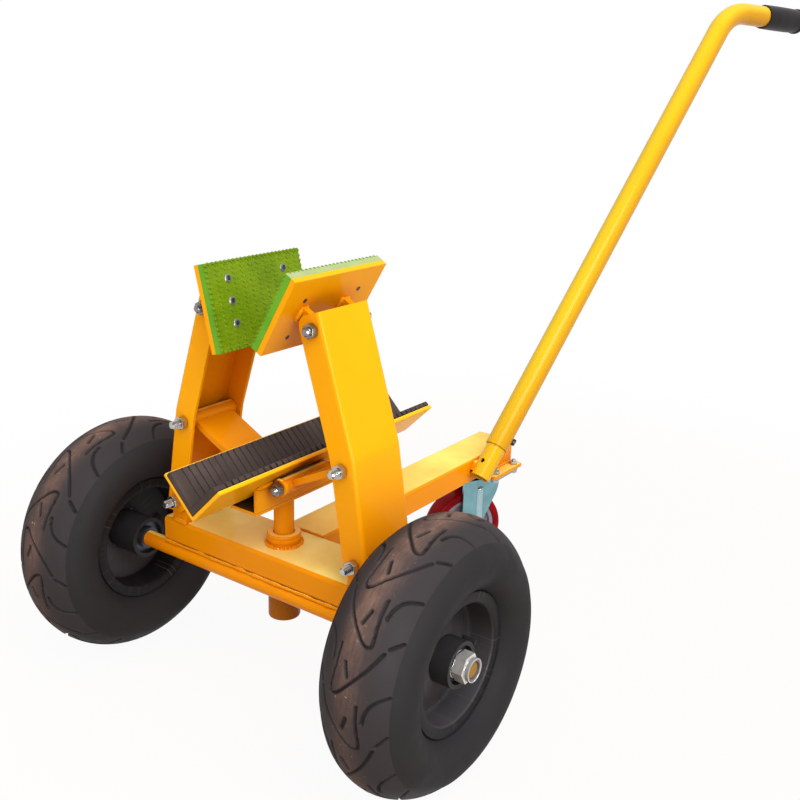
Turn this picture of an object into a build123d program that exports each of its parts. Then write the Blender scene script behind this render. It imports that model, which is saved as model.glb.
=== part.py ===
from build123d import *
import math
import os

os.makedirs("parts", exist_ok=True)

# Clearances shared by all pieces
run_clear = 0.06        # radial, a bore turning or sliding on its pin
fit_clear = 0.1         # radial, a piece pushed into or over another and left there
side_clear = 0.5        # between flat faces that move past each other
open_clear = 0.9        # radial, the link's outer eye on its bolt

# Running wheels
tyre_radius = 187.5
tyre_width = 134
tyre_wall = 10
tread_width = 104
tread_drop = 24         # from the crown down to the shoulder
track = 592             # between the middle planes of the two tyres
rim_width = 84
rim_seat_radius = 85
rim_flange_height = 13
rim_sheet = 4
rim_dish = 14           # how far the disc comes forward from its rim to its hub
hub_radius = 32
hub_length = 92
bearing_radius = 26
bearing_width = 15
bearing_recess = 8
valve_radius = 4
valve_length = 26

# Axle
axle_radius = 12.5
axle_thread_radius = 12
axle_collar_radius = 17
axle_collar_width = 9
axle_washer_radius = 20
axle_washer_thickness = 4
axle_nut_flats = 36
axle_nut_height = 24
axle_end_inset = 3      # how far the axle's end lies inside the nut's face
insert_height = 5

# Frame
beam_length = 410
beam_depth = 100
beam_height = 40
beam_front = -6         # the beam's front face, measured from the axle
frame_wall = 4
frame_corner = 6
tongue_width = 75
tongue_height = 43
tongue_corner = 4
tongue_right = 35       # its right side, measured from the middle plane
tongue_length = 558
cap_thickness = 4

# Guide tube with its bush, plug and spring
middle_y = 43           # the post, the arms and the jaws share this cross plane
guide_radius = 24
guide_wall = 4
guide_below_beam = 78
guide_above_beam = 6
collar_radius = 25.5
collar_height = 13
post_radius = 15
bush_length = 40
post_ring_height = 15
plug_thickness = 6
plug_hole_radius = 5
spring_wire_radius = 2
spring_coils = 6

# Cradle
channel_width = 50
channel_wall = 5
channel_front = -40
channel_length = 283
post_visible = 57       # of the post between the collar and the channel at rest
trough_leg = 75.4
trough_thickness = 6
trough_front = -135
trough_length = 478
v_above_channel = 17.6  # from the channel's underside to the bottom of the trough
pad_leg = 66
pad_thickness = 9
ear_thickness = 6
inner_pivot_x = 40
inner_pivot_rise = 37   # above the channel's underside
inner_eye_radius = 12

# Arms
arm_width = 104
arm_sheet = 5
arm_flange = 40
arm_lower_lean = 9.5    # degrees, each part leans in towards the top
arm_upper_lean = 17.6
arm_kink_x = 168.5
arm_kink_rise = 184     # these heights are all above the beam's top
arm_top_rise = 373
arm_bottom_rise = 18
arm_top_corner = 16
arm_bottom_corner = 14
base_pivot_x = 172
base_pivot_rise = 36.5
base_lug_radius = 15
base_lug_thickness = 12
link_pivot_x = 149.5
link_pivot_rise = 167.5
jaw_pivot_x = 98.5
jaw_pivot_rise = 347.5

# Links
link_width = 74
link_thickness = 10
link_eye_radius = 12
inner_bolt_tail = 4     # thread showing on the short bolts at the cradle

# Jaws
jaw_length = 188
jaw_above = 58.5        # plate above and below the pivot
jaw_below = 63.5
jaw_offset = 8          # plate behind the arm's middle
jaw_plate = 8
jaw_pad = 12
jaw_setback = 32.5      # from the pivot to the plate's back
jaw_lug_radius = 11.2
jaw_lug_thickness = 10
right_jaw_tilt = 30     # degrees, each jaw leans out at the top and hangs free
left_jaw_tilt = 14.5
screw_columns = 110
screw_pitch = 31
left_screw_rise = 3     # middle row above the pivot
right_screw_rise = -9   # the right plate hangs the other way up
screw_radius = 3
screw_head_radius = 6.5
screw_head_height = 3.5

# Pivot bolts
bolt_radius = 6
bolt_flats = 18
bolt_head = 8
bolt_nut = 10
bolt_tail = 14          # thread that stands out of the nut
jaw_bolt_tail = 6

# Handle
socket_radius = 18
socket_wall = 4
socket_setback = 144    # in front of the tongue's end
socket_rise = 13.5      # lower end above the tongue's underside
socket_showing = 64     # below the tube's end
socket_inside = 120
socket_hole_at = 28
socket_hole_radius = 4.5
saddle_start = 5        # weld block between the socket and the tongue
saddle_length = 46
saddle_front = 15
saddle_back = 9
handle_radius = 21
handle_wall = 2.8
handle_lean = 40.3      # degrees back from upright
handle_yaw = 9          # degrees out to the right, so that a hand clears the slab
handle_length = 1037
handle_bend = 106
grip_azimuth = 18.8
grip_pitch = -1.9
grip_lead = 58          # bare tube between the bend and the grip
grip_length = 120
grip_wall = 3
grip_flange_radius = 25.5
grip_flange_width = 7
grip_end = 5
lock_at = 24            # lock bolt above the tube's lower end
lock_radius = 4
lock_head_radius = 6.5
lock_head_height = 6

# Caster
caster_setback = 46     # swivel axis in front of the tongue's end
caster_turn = -27.5     # degrees, as it stands
mount_plate_width = 116
mount_plate_length = 102
mount_plate_thickness = 6.5
top_plate_width = 112
top_plate_length = 86
top_plate_thickness = 5
plate_bolt_x = 48
plate_bolt_y = 33
plate_bolt_radius = 4
plate_bolt_flats = 13
plate_bolt_head = 5.3
plate_bolt_nut = 6.5
plate_bolt_tail = 4
kingpin_radius = 8
kingpin_head_radius = 13
kingpin_head_height = 6
race_radius = 36
race_height = 10
fork_sheet = 5
fork_rear = 22          # crown behind the swivel axis
fork_eye_radius = 15
caster_trail = 40
caster_radius = 75
caster_width = 38
caster_tread = 15
caster_edge = 6
caster_gap = 3          # between the wheel and each fork leg
caster_hub_radius = 22
caster_web = 14
caster_rim = 8
caster_bolt_radius = 6
caster_bearing_radius = 14
caster_bearing_width = 9
caster_bolt_tail = 3

# Levels and places that follow
axle_z = tyre_radius
beam_bottom = axle_z + axle_radius
beam_top = beam_bottom + beam_height
beam_back = beam_front + beam_depth
tongue_end = beam_back + tongue_length
tongue_x = tongue_right - tongue_width / 2
tongue_bottom = (beam_bottom + beam_top - tongue_height) / 2
tongue_top = tongue_bottom + tongue_height
socket_y = tongue_end - socket_setback
caster_y = tongue_end - caster_setback
guide_top = beam_top + guide_above_beam
guide_bottom = beam_bottom - guide_below_beam
collar_top = guide_top + collar_height
channel_bottom = collar_top + post_visible
trough_bottom = channel_bottom + v_above_channel
inner_pivot_z = channel_bottom + inner_pivot_rise
base_pivot_z = beam_top + base_pivot_rise
link_pivot_z = beam_top + link_pivot_rise
jaw_pivot_z = beam_top + jaw_pivot_rise
arm_kink_z = beam_top + arm_kink_rise
arm_top_z = beam_top + arm_top_rise
arm_bottom_z = beam_top + arm_bottom_rise
arm_front = middle_y - arm_width / 2
arm_back = middle_y + arm_width / 2
mount_plate_bottom = tongue_bottom - mount_plate_thickness
top_plate_bottom = mount_plate_bottom - top_plate_thickness

side_plane = Plane(origin=(0, 0, 0), x_dir=(1, 0, 0), z_dir=(0, -1, 0))
both = Align.CENTER


def rod(start, end, radius):
    """Round bar from one point to another."""
    run = Vector(end) - Vector(start)
    bar = Cylinder(radius, run.length, align=(both, both, Align.MIN))
    return Plane(origin=start, z_dir=run).location * bar


def pipe(start, end, outer, inner):
    """Round tube from one point to another."""
    return rod(start, end, outer) - rod(start, end, inner)


def hexagon(start, end, flats, bore=0):
    """Hexagonal bar across the given flats, with an optional bore."""
    run = Vector(end) - Vector(start)
    face = RegularPolygon(flats / 2, 6, major_radius=False)
    bar = extrude(face, run.length)
    bar = Plane(origin=start, z_dir=run).location * bar
    if bore:
        bar = bar - rod(start, end, bore)
    return bar


def block(x, y, z):
    """Box between two places along each axis."""
    size = [high - low for low, high in (x, y, z)]
    middle = [(high + low) / 2 for low, high in (x, y, z)]
    return Pos(*middle) * Box(*size)


def slab(outline, y_from, y_to):
    """Flat face in the X-Z plane, given thickness along Y."""
    solid = extrude(side_plane * outline, -(y_to - y_from))
    return Pos(0, y_from, 0) * solid


def hollow_section(width, height, wall, corner):
    """Rounded rectangular tube section."""
    inner_corner = max(corner - wall, 0.5)
    inner = RectangleRounded(width - 2 * wall, height - 2 * wall, inner_corner)
    return RectangleRounded(width, height, corner) - inner


def mirrored(shape):
    return mirror(shape, about=Plane.YZ)


def pair(shape):
    """A piece and its twin on the other side."""
    return [shape, mirrored(shape)]


def pivot_bolt(x, z, front, back, tail=bolt_tail):
    """Bolt along Y with its head behind, its nut and a length of thread in front."""
    head_from = back + side_clear
    nut_from = front - side_clear
    nut_to = nut_from - bolt_nut
    shank = rod((x, nut_to - tail, z), (x, head_from, z), bolt_radius)
    head = hexagon((x, head_from, z), (x, head_from + bolt_head, z), bolt_flats)
    nut = hexagon((x, nut_to, z), (x, nut_from, z), bolt_flats, bolt_radius + fit_clear)
    return [shank + head, nut]


def bolt_bore(x, z, clearance):
    """Cutter for a bolt hole right through along Y."""
    far = arm_width
    return rod((x, middle_y - far, z), (x, middle_y + far, z), bolt_radius + clearance)


# The wheel is drawn round the X axis, with +X its outer side
def tyre():
    half = tyre_width / 2
    bead = rim_width / 2 - fit_clear
    toe = bead - 1.5 * tyre_wall
    seat = rim_seat_radius + fit_clear
    flange = rim_seat_radius + rim_flange_height
    shoulder = tyre_radius - tread_drop
    waist = (flange + shoulder) / 2
    edge = tread_width / 2
    skin = tyre_wall
    outer = [
        Line((bead, seat), (bead, flange)),
        ThreePointArc((bead, flange), (half, waist), (edge, shoulder)),
        ThreePointArc((edge, shoulder), (0, tyre_radius), (-edge, shoulder)),
        ThreePointArc((-edge, shoulder), (-half, waist), (-bead, flange)),
        Line((-bead, flange), (-bead, seat)),
        Line((-bead, seat), (-toe, seat)),
    ]
    inner_edge = edge - skin
    inner_shoulder = shoulder - 0.6 * skin
    inner = [
        Line((-toe, seat), (-toe, flange)),
        ThreePointArc((-toe, flange), (-half + skin, waist), (-inner_edge, inner_shoulder)),
        ThreePointArc((-inner_edge, inner_shoulder), (0, tyre_radius - skin), (inner_edge, inner_shoulder)),
        ThreePointArc((inner_edge, inner_shoulder), (half - skin, waist), (toe, flange)),
        Line((toe, flange), (toe, seat)),
        Line((toe, seat), (bead, seat)),
    ]
    return revolve(make_face(outer + inner), axis=Axis.X)


def rim():
    half = rim_width / 2
    seat = rim_seat_radius
    lip = seat + rim_flange_height
    barrel = Pos(0, seat - rim_sheet / 2) * Rectangle(rim_width + 2 * rim_sheet, rim_sheet)
    flange_middle = (seat - rim_sheet + lip) / 2
    flange = Rectangle(rim_sheet, lip - seat + rim_sheet)
    bore = hub_radius + fit_clear
    disc = make_face(Polyline(
        (0, seat - rim_sheet / 2),
        (rim_dish, bore),
        (rim_dish + rim_sheet, bore),
        (rim_sheet, seat - rim_sheet / 2),
        close=True,
    ))
    section = barrel + disc
    for side in (-1, 1):
        section += Pos(side * (half + rim_sheet / 2), flange_middle) * flange
    shell = revolve(section, axis=Axis.X)
    hole = rod((-rim_width, valve_seat(), 0), (rim_width, valve_seat(), 0), valve_radius + fit_clear)
    return shell - hole


def valve_seat():
    """Radius at which the valve stem goes through the disc."""
    return (hub_radius + rim_seat_radius) / 2


def hub():
    half = hub_length / 2
    body = rod((-half, 0, 0), (half, 0, 0), hub_radius)
    body -= rod((-half, 0, 0), (half, 0, 0), bearing_radius - rim_sheet)
    depth = bearing_recess + bearing_width
    seat = bearing_radius + fit_clear
    body -= rod((-half, 0, 0), (-half + depth, 0, 0), seat)
    body -= rod((half - depth, 0, 0), (half, 0, 0), seat)
    return body


def wheel_bearings():
    face = hub_length / 2 - bearing_recess
    ring = pipe((face - bearing_width, 0, 0), (face, 0, 0), bearing_radius, axle_radius + run_clear)
    return pair(ring)


def valve():
    """Rubber stem through the rim's disc, with a wider foot on the inner side."""
    height = valve_seat()
    disc_edge = rim_seat_radius - rim_sheet / 2
    slope = rim_dish / (disc_edge - hub_radius - fit_clear)
    disc_back = slope * (disc_edge - height)
    foot_radius = 1.6 * valve_radius
    seat = disc_back - slope * foot_radius - fit_clear
    foot = rod((seat - valve_radius, height, 0), (seat, height, 0), foot_radius)
    stem = rod((seat - valve_radius, height, 0), (seat + valve_length, height, 0), valve_radius)
    return foot + stem


def placed_wheel(shape):
    return Pos(track / 2, 0, axle_z) * shape


# Axle with what holds the wheels on it
bearing_face = hub_length / 2 - bearing_recess
washer_from = track / 2 + bearing_face + side_clear
nut_from = washer_from + axle_washer_thickness
nut_to = nut_from + axle_nut_height
axle_end = nut_to - axle_end_inset
axle_bar = rod((-washer_from, 0, axle_z), (washer_from, 0, axle_z), axle_radius)
axle_bar += rod((-axle_end, 0, axle_z), (axle_end, 0, axle_z), axle_thread_radius)

collar_to = track / 2 - bearing_face - side_clear
axle_collar = pipe(
    (collar_to - axle_collar_width, 0, axle_z), (collar_to, 0, axle_z),
    axle_collar_radius, axle_radius + fit_clear,
)
axle_washer = pipe(
    (washer_from, 0, axle_z), (nut_from, 0, axle_z),
    axle_washer_radius, axle_thread_radius + fit_clear,
)
insert_from = nut_to - insert_height
insert_radius = (axle_thread_radius + axle_nut_flats / 2) / 2
axle_nut = hexagon(
    (nut_from, 0, axle_z), (nut_to, 0, axle_z),
    axle_nut_flats, axle_thread_radius + fit_clear,
)
axle_nut -= rod((insert_from, 0, axle_z), (nut_to, 0, axle_z), insert_radius)
nut_cone = Cone(
    0.62 * axle_nut_flats + axle_nut_height, 0.5 * axle_nut_flats,
    1.24 * axle_nut_flats, align=(both, both, Align.MAX),
)
axle_nut &= Plane(origin=(nut_to, 0, axle_z), z_dir=(1, 0, 0)).location * nut_cone
nut_insert = pipe(
    (insert_from, 0, axle_z), (nut_to - 1, 0, axle_z),
    insert_radius - fit_clear, axle_thread_radius + fit_clear,
)

# Cross-beam, tongue and their end caps
beam_half = beam_length / 2 - cap_thickness
beam_y = (beam_front + beam_back) / 2
beam_z = (beam_bottom + beam_top) / 2
beam_place = Plane(origin=(-beam_half, beam_y, beam_z), x_dir=(0, 1, 0), z_dir=(1, 0, 0)).location
beam_section = hollow_section(beam_depth, beam_height, frame_wall, frame_corner)
cross_beam = beam_place * extrude(beam_section, 2 * beam_half)
guide_cut = rod((0, middle_y, 0), (0, middle_y, beam_top + beam_height), guide_radius + fit_clear)
cross_beam -= guide_cut
cap_place = Plane(origin=(beam_half, beam_y, beam_z), x_dir=(0, 1, 0), z_dir=(1, 0, 0)).location
beam_cap = cap_place * extrude(RectangleRounded(beam_depth, beam_height, frame_corner), cap_thickness)

tongue_place = Plane(origin=(tongue_x, beam_back, beam_z), x_dir=(-1, 0, 0), z_dir=(0, 1, 0)).location
tongue_section = hollow_section(tongue_width, tongue_height, frame_wall, tongue_corner)
tongue = tongue_place * extrude(tongue_section, tongue_length - cap_thickness)
tongue_cap_place = Pos(0, tongue_length - cap_thickness, 0) * tongue_place
tongue_end_cap = tongue_cap_place * extrude(
    RectangleRounded(tongue_width, tongue_height, tongue_corner), cap_thickness,
)

# Guide tube for the post: collar on top, bush below it, plug and spring at the foot
guide_bore = guide_radius - guide_wall
guide_tube = pipe((0, middle_y, guide_bottom), (0, middle_y, guide_top), guide_radius, guide_bore)
guide_collar = pipe(
    (0, middle_y, guide_top), (0, middle_y, collar_top),
    collar_radius, post_radius + 5 * run_clear,
)
bush_bottom = guide_top - bush_length
guide_bush = pipe(
    (0, middle_y, bush_bottom), (0, middle_y, guide_top),
    guide_bore - fit_clear, post_radius + run_clear,
)
plug_top = guide_bottom + plug_thickness
guide_plug = pipe(
    (0, middle_y, guide_bottom), (0, middle_y, plug_top),
    guide_bore - fit_clear, plug_hole_radius,
)
post_ring_top = bush_bottom - side_clear
post_bottom = post_ring_top - post_ring_height
cradle_post = rod((0, middle_y, post_bottom), (0, middle_y, channel_bottom), post_radius)
post_ring = pipe(
    (0, middle_y, post_bottom), (0, middle_y, post_ring_top),
    guide_bore - run_clear, post_radius + fit_clear,
)
spring_radius = (guide_bore + plug_hole_radius) / 2 + spring_wire_radius
spring_rise = post_bottom - plug_top - 2 * spring_wire_radius - 2 * fit_clear
spring_line = Helix(spring_rise / spring_coils, spring_rise, spring_radius)
spring_face = Plane(origin=spring_line @ 0, z_dir=spring_line % 0) * Circle(spring_wire_radius)
spring_foot = plug_top + spring_wire_radius + fit_clear
return_spring = Pos(0, middle_y, spring_foot) * sweep(spring_face, path=spring_line, is_frenet=True)

# Lugs that carry the arms on the beam
lug_from = arm_width / 2 - arm_sheet - side_clear - base_lug_thickness
lug_to = lug_from + base_lug_thickness
lug_outline = make_face(Polyline(
    (base_pivot_x - base_lug_radius, beam_top),
    (base_pivot_x + base_lug_radius, beam_top),
    (base_pivot_x + base_lug_radius, base_pivot_z),
    (base_pivot_x - base_lug_radius, base_pivot_z),
    close=True,
))
lug_outline += Pos(base_pivot_x, base_pivot_z) * Circle(base_lug_radius)
base_lugs = []
for side in (-1, 1):
    ends = sorted((side * lug_from, side * lug_to))
    lug = slab(lug_outline, middle_y + ends[0], middle_y + ends[1])
    lug -= bolt_bore(base_pivot_x, base_pivot_z, fit_clear)
    base_lugs += pair(lug)
base_pivot_bolts = []
for solid in pivot_bolt(base_pivot_x, base_pivot_z, arm_front, arm_back):
    base_pivot_bolts += pair(solid)


# Arm: a channel bent once, web outside, open side to the slab
def arm_line(inset):
    """Points of the arm's web at a distance in from its outer face: bottom, kink, top."""
    lower = math.radians(arm_lower_lean)
    upper = math.radians(arm_upper_lean)
    bend = (lower + upper) / 2
    shift = inset / math.cos((upper - lower) / 2)
    kink = (arm_kink_x - shift * math.cos(bend), arm_kink_z - shift * math.sin(bend))
    bottom = (kink[0] + (kink[1] - arm_bottom_z) * math.tan(lower), arm_bottom_z)
    top_z = arm_top_z - inset * math.sin(upper)
    top = (kink[0] - (top_z - kink[1]) * math.tan(upper), top_z)
    return [bottom, kink, top]


def right_arm_shape():
    web = arm_line(0)
    edge = arm_line(arm_flange)
    outline = make_face(Polyline(*web, *reversed(edge), close=True))
    top_corner = outline.vertices().sort_by_distance((*edge[2], 0))[0]
    outline = fillet(top_corner, arm_top_corner)
    bottom_corner = outline.vertices().sort_by_distance((*edge[0], 0))[0]
    outline = fillet(bottom_corner, arm_bottom_corner)
    inside = arm_line(arm_sheet)
    past = arm_line(2 * arm_flange)
    drop = arm_flange
    foot = (inside[0][0] + drop * math.tan(math.radians(arm_lower_lean)), inside[0][1] - drop)
    crest = (inside[2][0] - drop * math.tan(math.radians(arm_upper_lean)), inside[2][1] + drop)
    pocket = make_face(Polyline(
        foot, inside[1], crest,
        (past[2][0], crest[1]), past[1], (past[0][0], foot[1]), close=True,
    ))
    body = slab(outline, arm_front, arm_back)
    body -= slab(pocket, arm_front + arm_sheet, arm_back - arm_sheet)
    body -= bolt_bore(base_pivot_x, base_pivot_z, run_clear)
    body -= bolt_bore(link_pivot_x, link_pivot_z, fit_clear)
    body -= bolt_bore(jaw_pivot_x, jaw_pivot_z, fit_clear)
    return body


right_arm = right_arm_shape()
arm_bolts = pivot_bolt(link_pivot_x, link_pivot_z, arm_front, arm_back)
arm_bolts += pivot_bolt(jaw_pivot_x, jaw_pivot_z, arm_front, arm_back, jaw_bolt_tail)


# Link: a thick plate with a longer sleeve at each pivot
link_reach = arm_width / 2 - arm_sheet - side_clear


def right_link_shape():
    run = math.hypot(link_pivot_x - inner_pivot_x, link_pivot_z - inner_pivot_z)
    slope = math.degrees(math.atan2(link_pivot_z - inner_pivot_z, link_pivot_x - inner_pivot_x))
    half = link_width / 2
    body = slab(Pos(run / 2, 0) * Rectangle(run, link_thickness), -half, half)
    for at, clearance in ((0, run_clear), (run, open_clear)):
        body += rod((at, -link_reach, 0), (at, link_reach, 0), link_eye_radius)
        body -= rod((at, -2 * link_reach, 0), (at, 2 * link_reach, 0), bolt_radius + clearance)
    turned = Rot(0, -slope, 0) * body
    return Pos(inner_pivot_x, middle_y, inner_pivot_z) * turned


right_link = right_link_shape()

# Cradle: channel on the post, ears for the links, trough of angle section on top
channel_back = channel_front + channel_length
channel_half = channel_width / 2
v_reach = trough_leg / math.sqrt(2)
ear_from = link_reach + side_clear
ear_to = ear_from + ear_thickness
channel_top = trough_bottom + channel_half
cradle_channel = block(
    (-channel_half, channel_half), (channel_front, channel_back), (channel_bottom, channel_top),
)
cradle_channel -= block(
    (channel_wall - channel_half, channel_half - channel_wall),
    (channel_front - 1, channel_back + 1),
    (channel_bottom + channel_wall, channel_top + 1),
)
v_cut = make_face(Polyline(
    (0, trough_bottom), (2 * channel_half, trough_bottom + 2 * channel_half),
    (-2 * channel_half, trough_bottom + 2 * channel_half), close=True,
))
cradle_channel -= slab(v_cut, channel_front - 1, channel_back + 1)
ear_outline = make_face(Polyline(
    (channel_half, inner_pivot_z - inner_eye_radius),
    (inner_pivot_x, inner_pivot_z - inner_eye_radius),
    (inner_pivot_x, inner_pivot_z + inner_eye_radius),
    (channel_half, min(channel_top, inner_pivot_z + inner_eye_radius)),
    close=True,
))
ear_outline += Pos(inner_pivot_x, inner_pivot_z) * Circle(inner_eye_radius)
ear_outline -= v_cut
for side in (-1, 1):
    ends = sorted((side * ear_from, side * ear_to))
    ear = slab(ear_outline, middle_y + ends[0], middle_y + ends[1])
    ear -= bolt_bore(inner_pivot_x, inner_pivot_z, fit_clear)
    for twin in pair(ear):
        cradle_channel += twin
link_bolts = []
inner_bolt = pivot_bolt(inner_pivot_x, inner_pivot_z, middle_y - ear_to, middle_y + ear_to, inner_bolt_tail)
for solid in inner_bolt:
    link_bolts += pair(solid)

trough_top = trough_bottom + v_reach
lip = trough_thickness / math.sqrt(2)
inner_bottom = trough_bottom + trough_thickness * math.sqrt(2)
trough_outline = make_face(Polyline(
    (0, trough_bottom), (v_reach, trough_top), (v_reach - lip, trough_top + lip), (0, inner_bottom),
    (lip - v_reach, trough_top + lip), (-v_reach, trough_top), close=True,
))
trough_back = trough_front + trough_length
trough = slab(trough_outline, trough_front, trough_back)
pad_reach = pad_leg / math.sqrt(2)
pad_lip = pad_thickness / math.sqrt(2)
pad_bottom = inner_bottom + pad_thickness * math.sqrt(2)
pad_outline = make_face(Polyline(
    (fit_clear, inner_bottom + fit_clear), (pad_reach, inner_bottom + pad_reach),
    (pad_reach - pad_lip, inner_bottom + pad_reach + pad_lip),
    (fit_clear, pad_bottom + fit_clear), close=True,
))
trough_pads = pair(slab(pad_outline, trough_front, trough_back))


# Jaw: plate with two lugs on the arm's bolt, a pad screwed to its face
def tilted(shape, tilt):
    about = Pos(jaw_pivot_x, middle_y, jaw_pivot_z)
    return about * Rot(0, tilt, 0) * Pos(-jaw_pivot_x, -middle_y, -jaw_pivot_z) * shape


jaw_back_x = jaw_pivot_x - jaw_setback
jaw_face_x = jaw_back_x - jaw_plate
pad_face_x = jaw_face_x - jaw_pad
jaw_middle = middle_y + jaw_offset
jaw_y = (jaw_middle - jaw_length / 2, jaw_middle + jaw_length / 2)
jaw_z = (jaw_pivot_z - jaw_below, jaw_pivot_z + jaw_above)


def screw_places(rise):
    """Screw axes of one jaw, in two columns of three."""
    places = []
    for column in (-1, 1):
        for row in (-1, 0, 1):
            places.append((jaw_middle + column * screw_columns / 2, jaw_pivot_z + rise + row * screw_pitch))
    return places


def jaw_plate_shape(rise):
    body = block((jaw_face_x, jaw_back_x), jaw_y, jaw_z)
    outline = make_face(Polyline(
        (jaw_back_x, jaw_pivot_z - jaw_lug_radius), (jaw_pivot_x, jaw_pivot_z - jaw_lug_radius),
        (jaw_pivot_x, jaw_pivot_z + jaw_lug_radius), (jaw_back_x, jaw_pivot_z + jaw_lug_radius), close=True,
    ))
    outline += Pos(jaw_pivot_x, jaw_pivot_z) * Circle(jaw_lug_radius)
    outer = arm_width / 2 - arm_sheet - side_clear
    for side in (-1, 1):
        ends = sorted((side * outer, side * (outer - jaw_lug_thickness)))
        body += slab(outline, middle_y + ends[0], middle_y + ends[1])
    body -= bolt_bore(jaw_pivot_x, jaw_pivot_z, run_clear)
    for y, z in screw_places(rise):
        body -= rod((pad_face_x, y, z), (jaw_pivot_x, y, z), screw_radius + fit_clear)
    return body


def jaw_pad_shape(rise):
    body = block((pad_face_x, jaw_face_x), jaw_y, jaw_z)
    head_to = pad_face_x + screw_head_height
    cut_from = pad_face_x - jaw_pad
    for y, z in screw_places(rise):
        body -= rod((cut_from, y, z), (jaw_back_x, y, z), screw_radius + fit_clear)
        body -= rod((cut_from, y, z), (head_to, y, z), screw_head_radius + fit_clear)
    return body


def pad_screw_shapes(rise):
    solids = []
    head_to = pad_face_x + screw_head_height
    key_to = pad_face_x + screw_head_height / 2
    for y, z in screw_places(rise):
        head = rod((pad_face_x, y, z), (head_to, y, z), screw_head_radius)
        head -= hexagon((pad_face_x - screw_head_height, y, z), (key_to, y, z), screw_head_radius)
        solids.append(head + rod((head_to, y, z), (jaw_back_x, y, z), screw_radius))
    return solids


# Handle: a socket on the tongue's right side, a bent tube over it, a rubber grip
lean = math.radians(handle_lean)
yaw = math.radians(handle_yaw)
azimuth = math.radians(grip_azimuth)
pitch = math.radians(grip_pitch)
handle_axis = Vector(math.sin(lean) * math.sin(yaw), math.sin(lean) * math.cos(yaw), math.cos(lean))
grip_axis = Vector(math.cos(pitch) * math.sin(azimuth), math.cos(pitch) * math.cos(azimuth), math.sin(pitch))
socket_foot = Vector(tongue_right + socket_radius, socket_y, tongue_bottom + socket_rise)
bend_turn = math.acos(handle_axis.dot(grip_axis))
bend_side = (grip_axis - handle_axis * handle_axis.dot(grip_axis)).normalized()
back_side = Vector(math.cos(lean) * math.sin(yaw), math.cos(lean) * math.cos(yaw), -math.sin(lean))

tube_start = socket_foot + handle_axis * socket_showing
bend_start = socket_foot + handle_axis * handle_length
bend_middle = bend_start + (
    handle_axis * math.sin(bend_turn / 2) + bend_side * (1 - math.cos(bend_turn / 2))
) * handle_bend
bend_end = bend_start + (
    handle_axis * math.sin(bend_turn) + bend_side * (1 - math.cos(bend_turn))
) * handle_bend
grip_start = bend_end + grip_axis * grip_lead
grip_stop = grip_start + grip_axis * grip_length
tube_end = grip_stop - grip_axis * grip_end
handle_line = Wire([
    Line(tube_start, bend_start),
    ThreePointArc(bend_start, bend_middle, bend_end),
    Line(bend_end, tube_end),
])
tube_plane = Plane(origin=tube_start, z_dir=handle_axis)
handle_bore = handle_radius - handle_wall
handle_tube = sweep(tube_plane * Circle(handle_radius), path=handle_line)
handle_tube -= sweep(tube_plane * Circle(handle_bore), path=handle_line)

socket_top = socket_foot + handle_axis * (socket_showing + socket_inside)
socket_outer = min(socket_radius, handle_bore - fit_clear)
handle_socket = pipe(socket_foot, socket_top, socket_outer, socket_outer - socket_wall)
lock_place = tube_start + handle_axis * lock_at
lock_way = (handle_axis.cross(back_side) * -1 + back_side).normalized()
lock_seat = lock_way * (handle_radius + fit_clear)
lock_tip = lock_way * (socket_outer - 2 * socket_wall)
lock_bore = rod(lock_place + lock_tip - lock_way, lock_place + 2 * lock_seat, lock_radius + fit_clear)
spare_place = socket_foot + handle_axis * socket_hole_at
spare_hole = rod(spare_place - back_side * 2 * socket_radius, spare_place, socket_hole_radius)
handle_socket = handle_socket - lock_bore - spare_hole
handle_tube = handle_tube - lock_bore
lock_head = rod(
    lock_place + lock_seat, lock_place + lock_seat + lock_way * lock_head_height, lock_head_radius,
)
lock_shank = rod(lock_place + lock_tip, lock_place + lock_seat, lock_radius)
saddle_foot = socket_foot + handle_axis * saddle_start
saddle_plane = Plane(origin=saddle_foot, x_dir=back_side, z_dir=handle_axis)
saddle = saddle_plane.location * Pos((saddle_back - saddle_front) / 2, 0, 0) * Box(
    saddle_front + saddle_back, 4 * socket_radius, saddle_length, align=(both, both, Align.MIN),
)
saddle -= rod(socket_foot - handle_axis, socket_top, socket_radius + fit_clear)
saddle_room = block(
    (tongue_right, socket_foot.X),
    (socket_y - 4 * socket_radius, socket_y + 4 * socket_radius),
    (tongue_bottom, tongue_top - tongue_corner),
)
socket_saddle = saddle & saddle_room

handle_grip = rod(grip_start, grip_stop, handle_radius + grip_wall)
handle_grip += rod(grip_stop - grip_axis * grip_flange_width, grip_stop, grip_flange_radius)
handle_grip -= rod(grip_start, tube_end, handle_radius + fit_clear)

# Caster: yellow plate under the tongue, zinc plate bolted below it, fork and wheel
plate_half = mount_plate_width / 2
mount_y = (caster_y - mount_plate_length / 2, caster_y + mount_plate_length / 2)
mount_plate = block((-plate_half, plate_half), mount_y, (mount_plate_bottom, tongue_bottom))
top_half = top_plate_width / 2
top_y = (caster_y - top_plate_length / 2, caster_y + top_plate_length / 2)
top_plate = block((-top_half, top_half), top_y, (top_plate_bottom, mount_plate_bottom))
kingpin_low = top_plate_bottom - 2 * side_clear - race_height - fork_sheet - kingpin_head_height - side_clear
kingpin = rod((0, caster_y, kingpin_low), (0, caster_y, mount_plate_bottom), kingpin_radius)
kingpin += rod(
    (0, caster_y, kingpin_low), (0, caster_y, kingpin_low + kingpin_head_height), kingpin_head_radius,
)
top_plate -= rod((0, caster_y, 0), (0, caster_y, mount_plate_bottom), kingpin_radius + fit_clear)
plate_bolts = []
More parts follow.
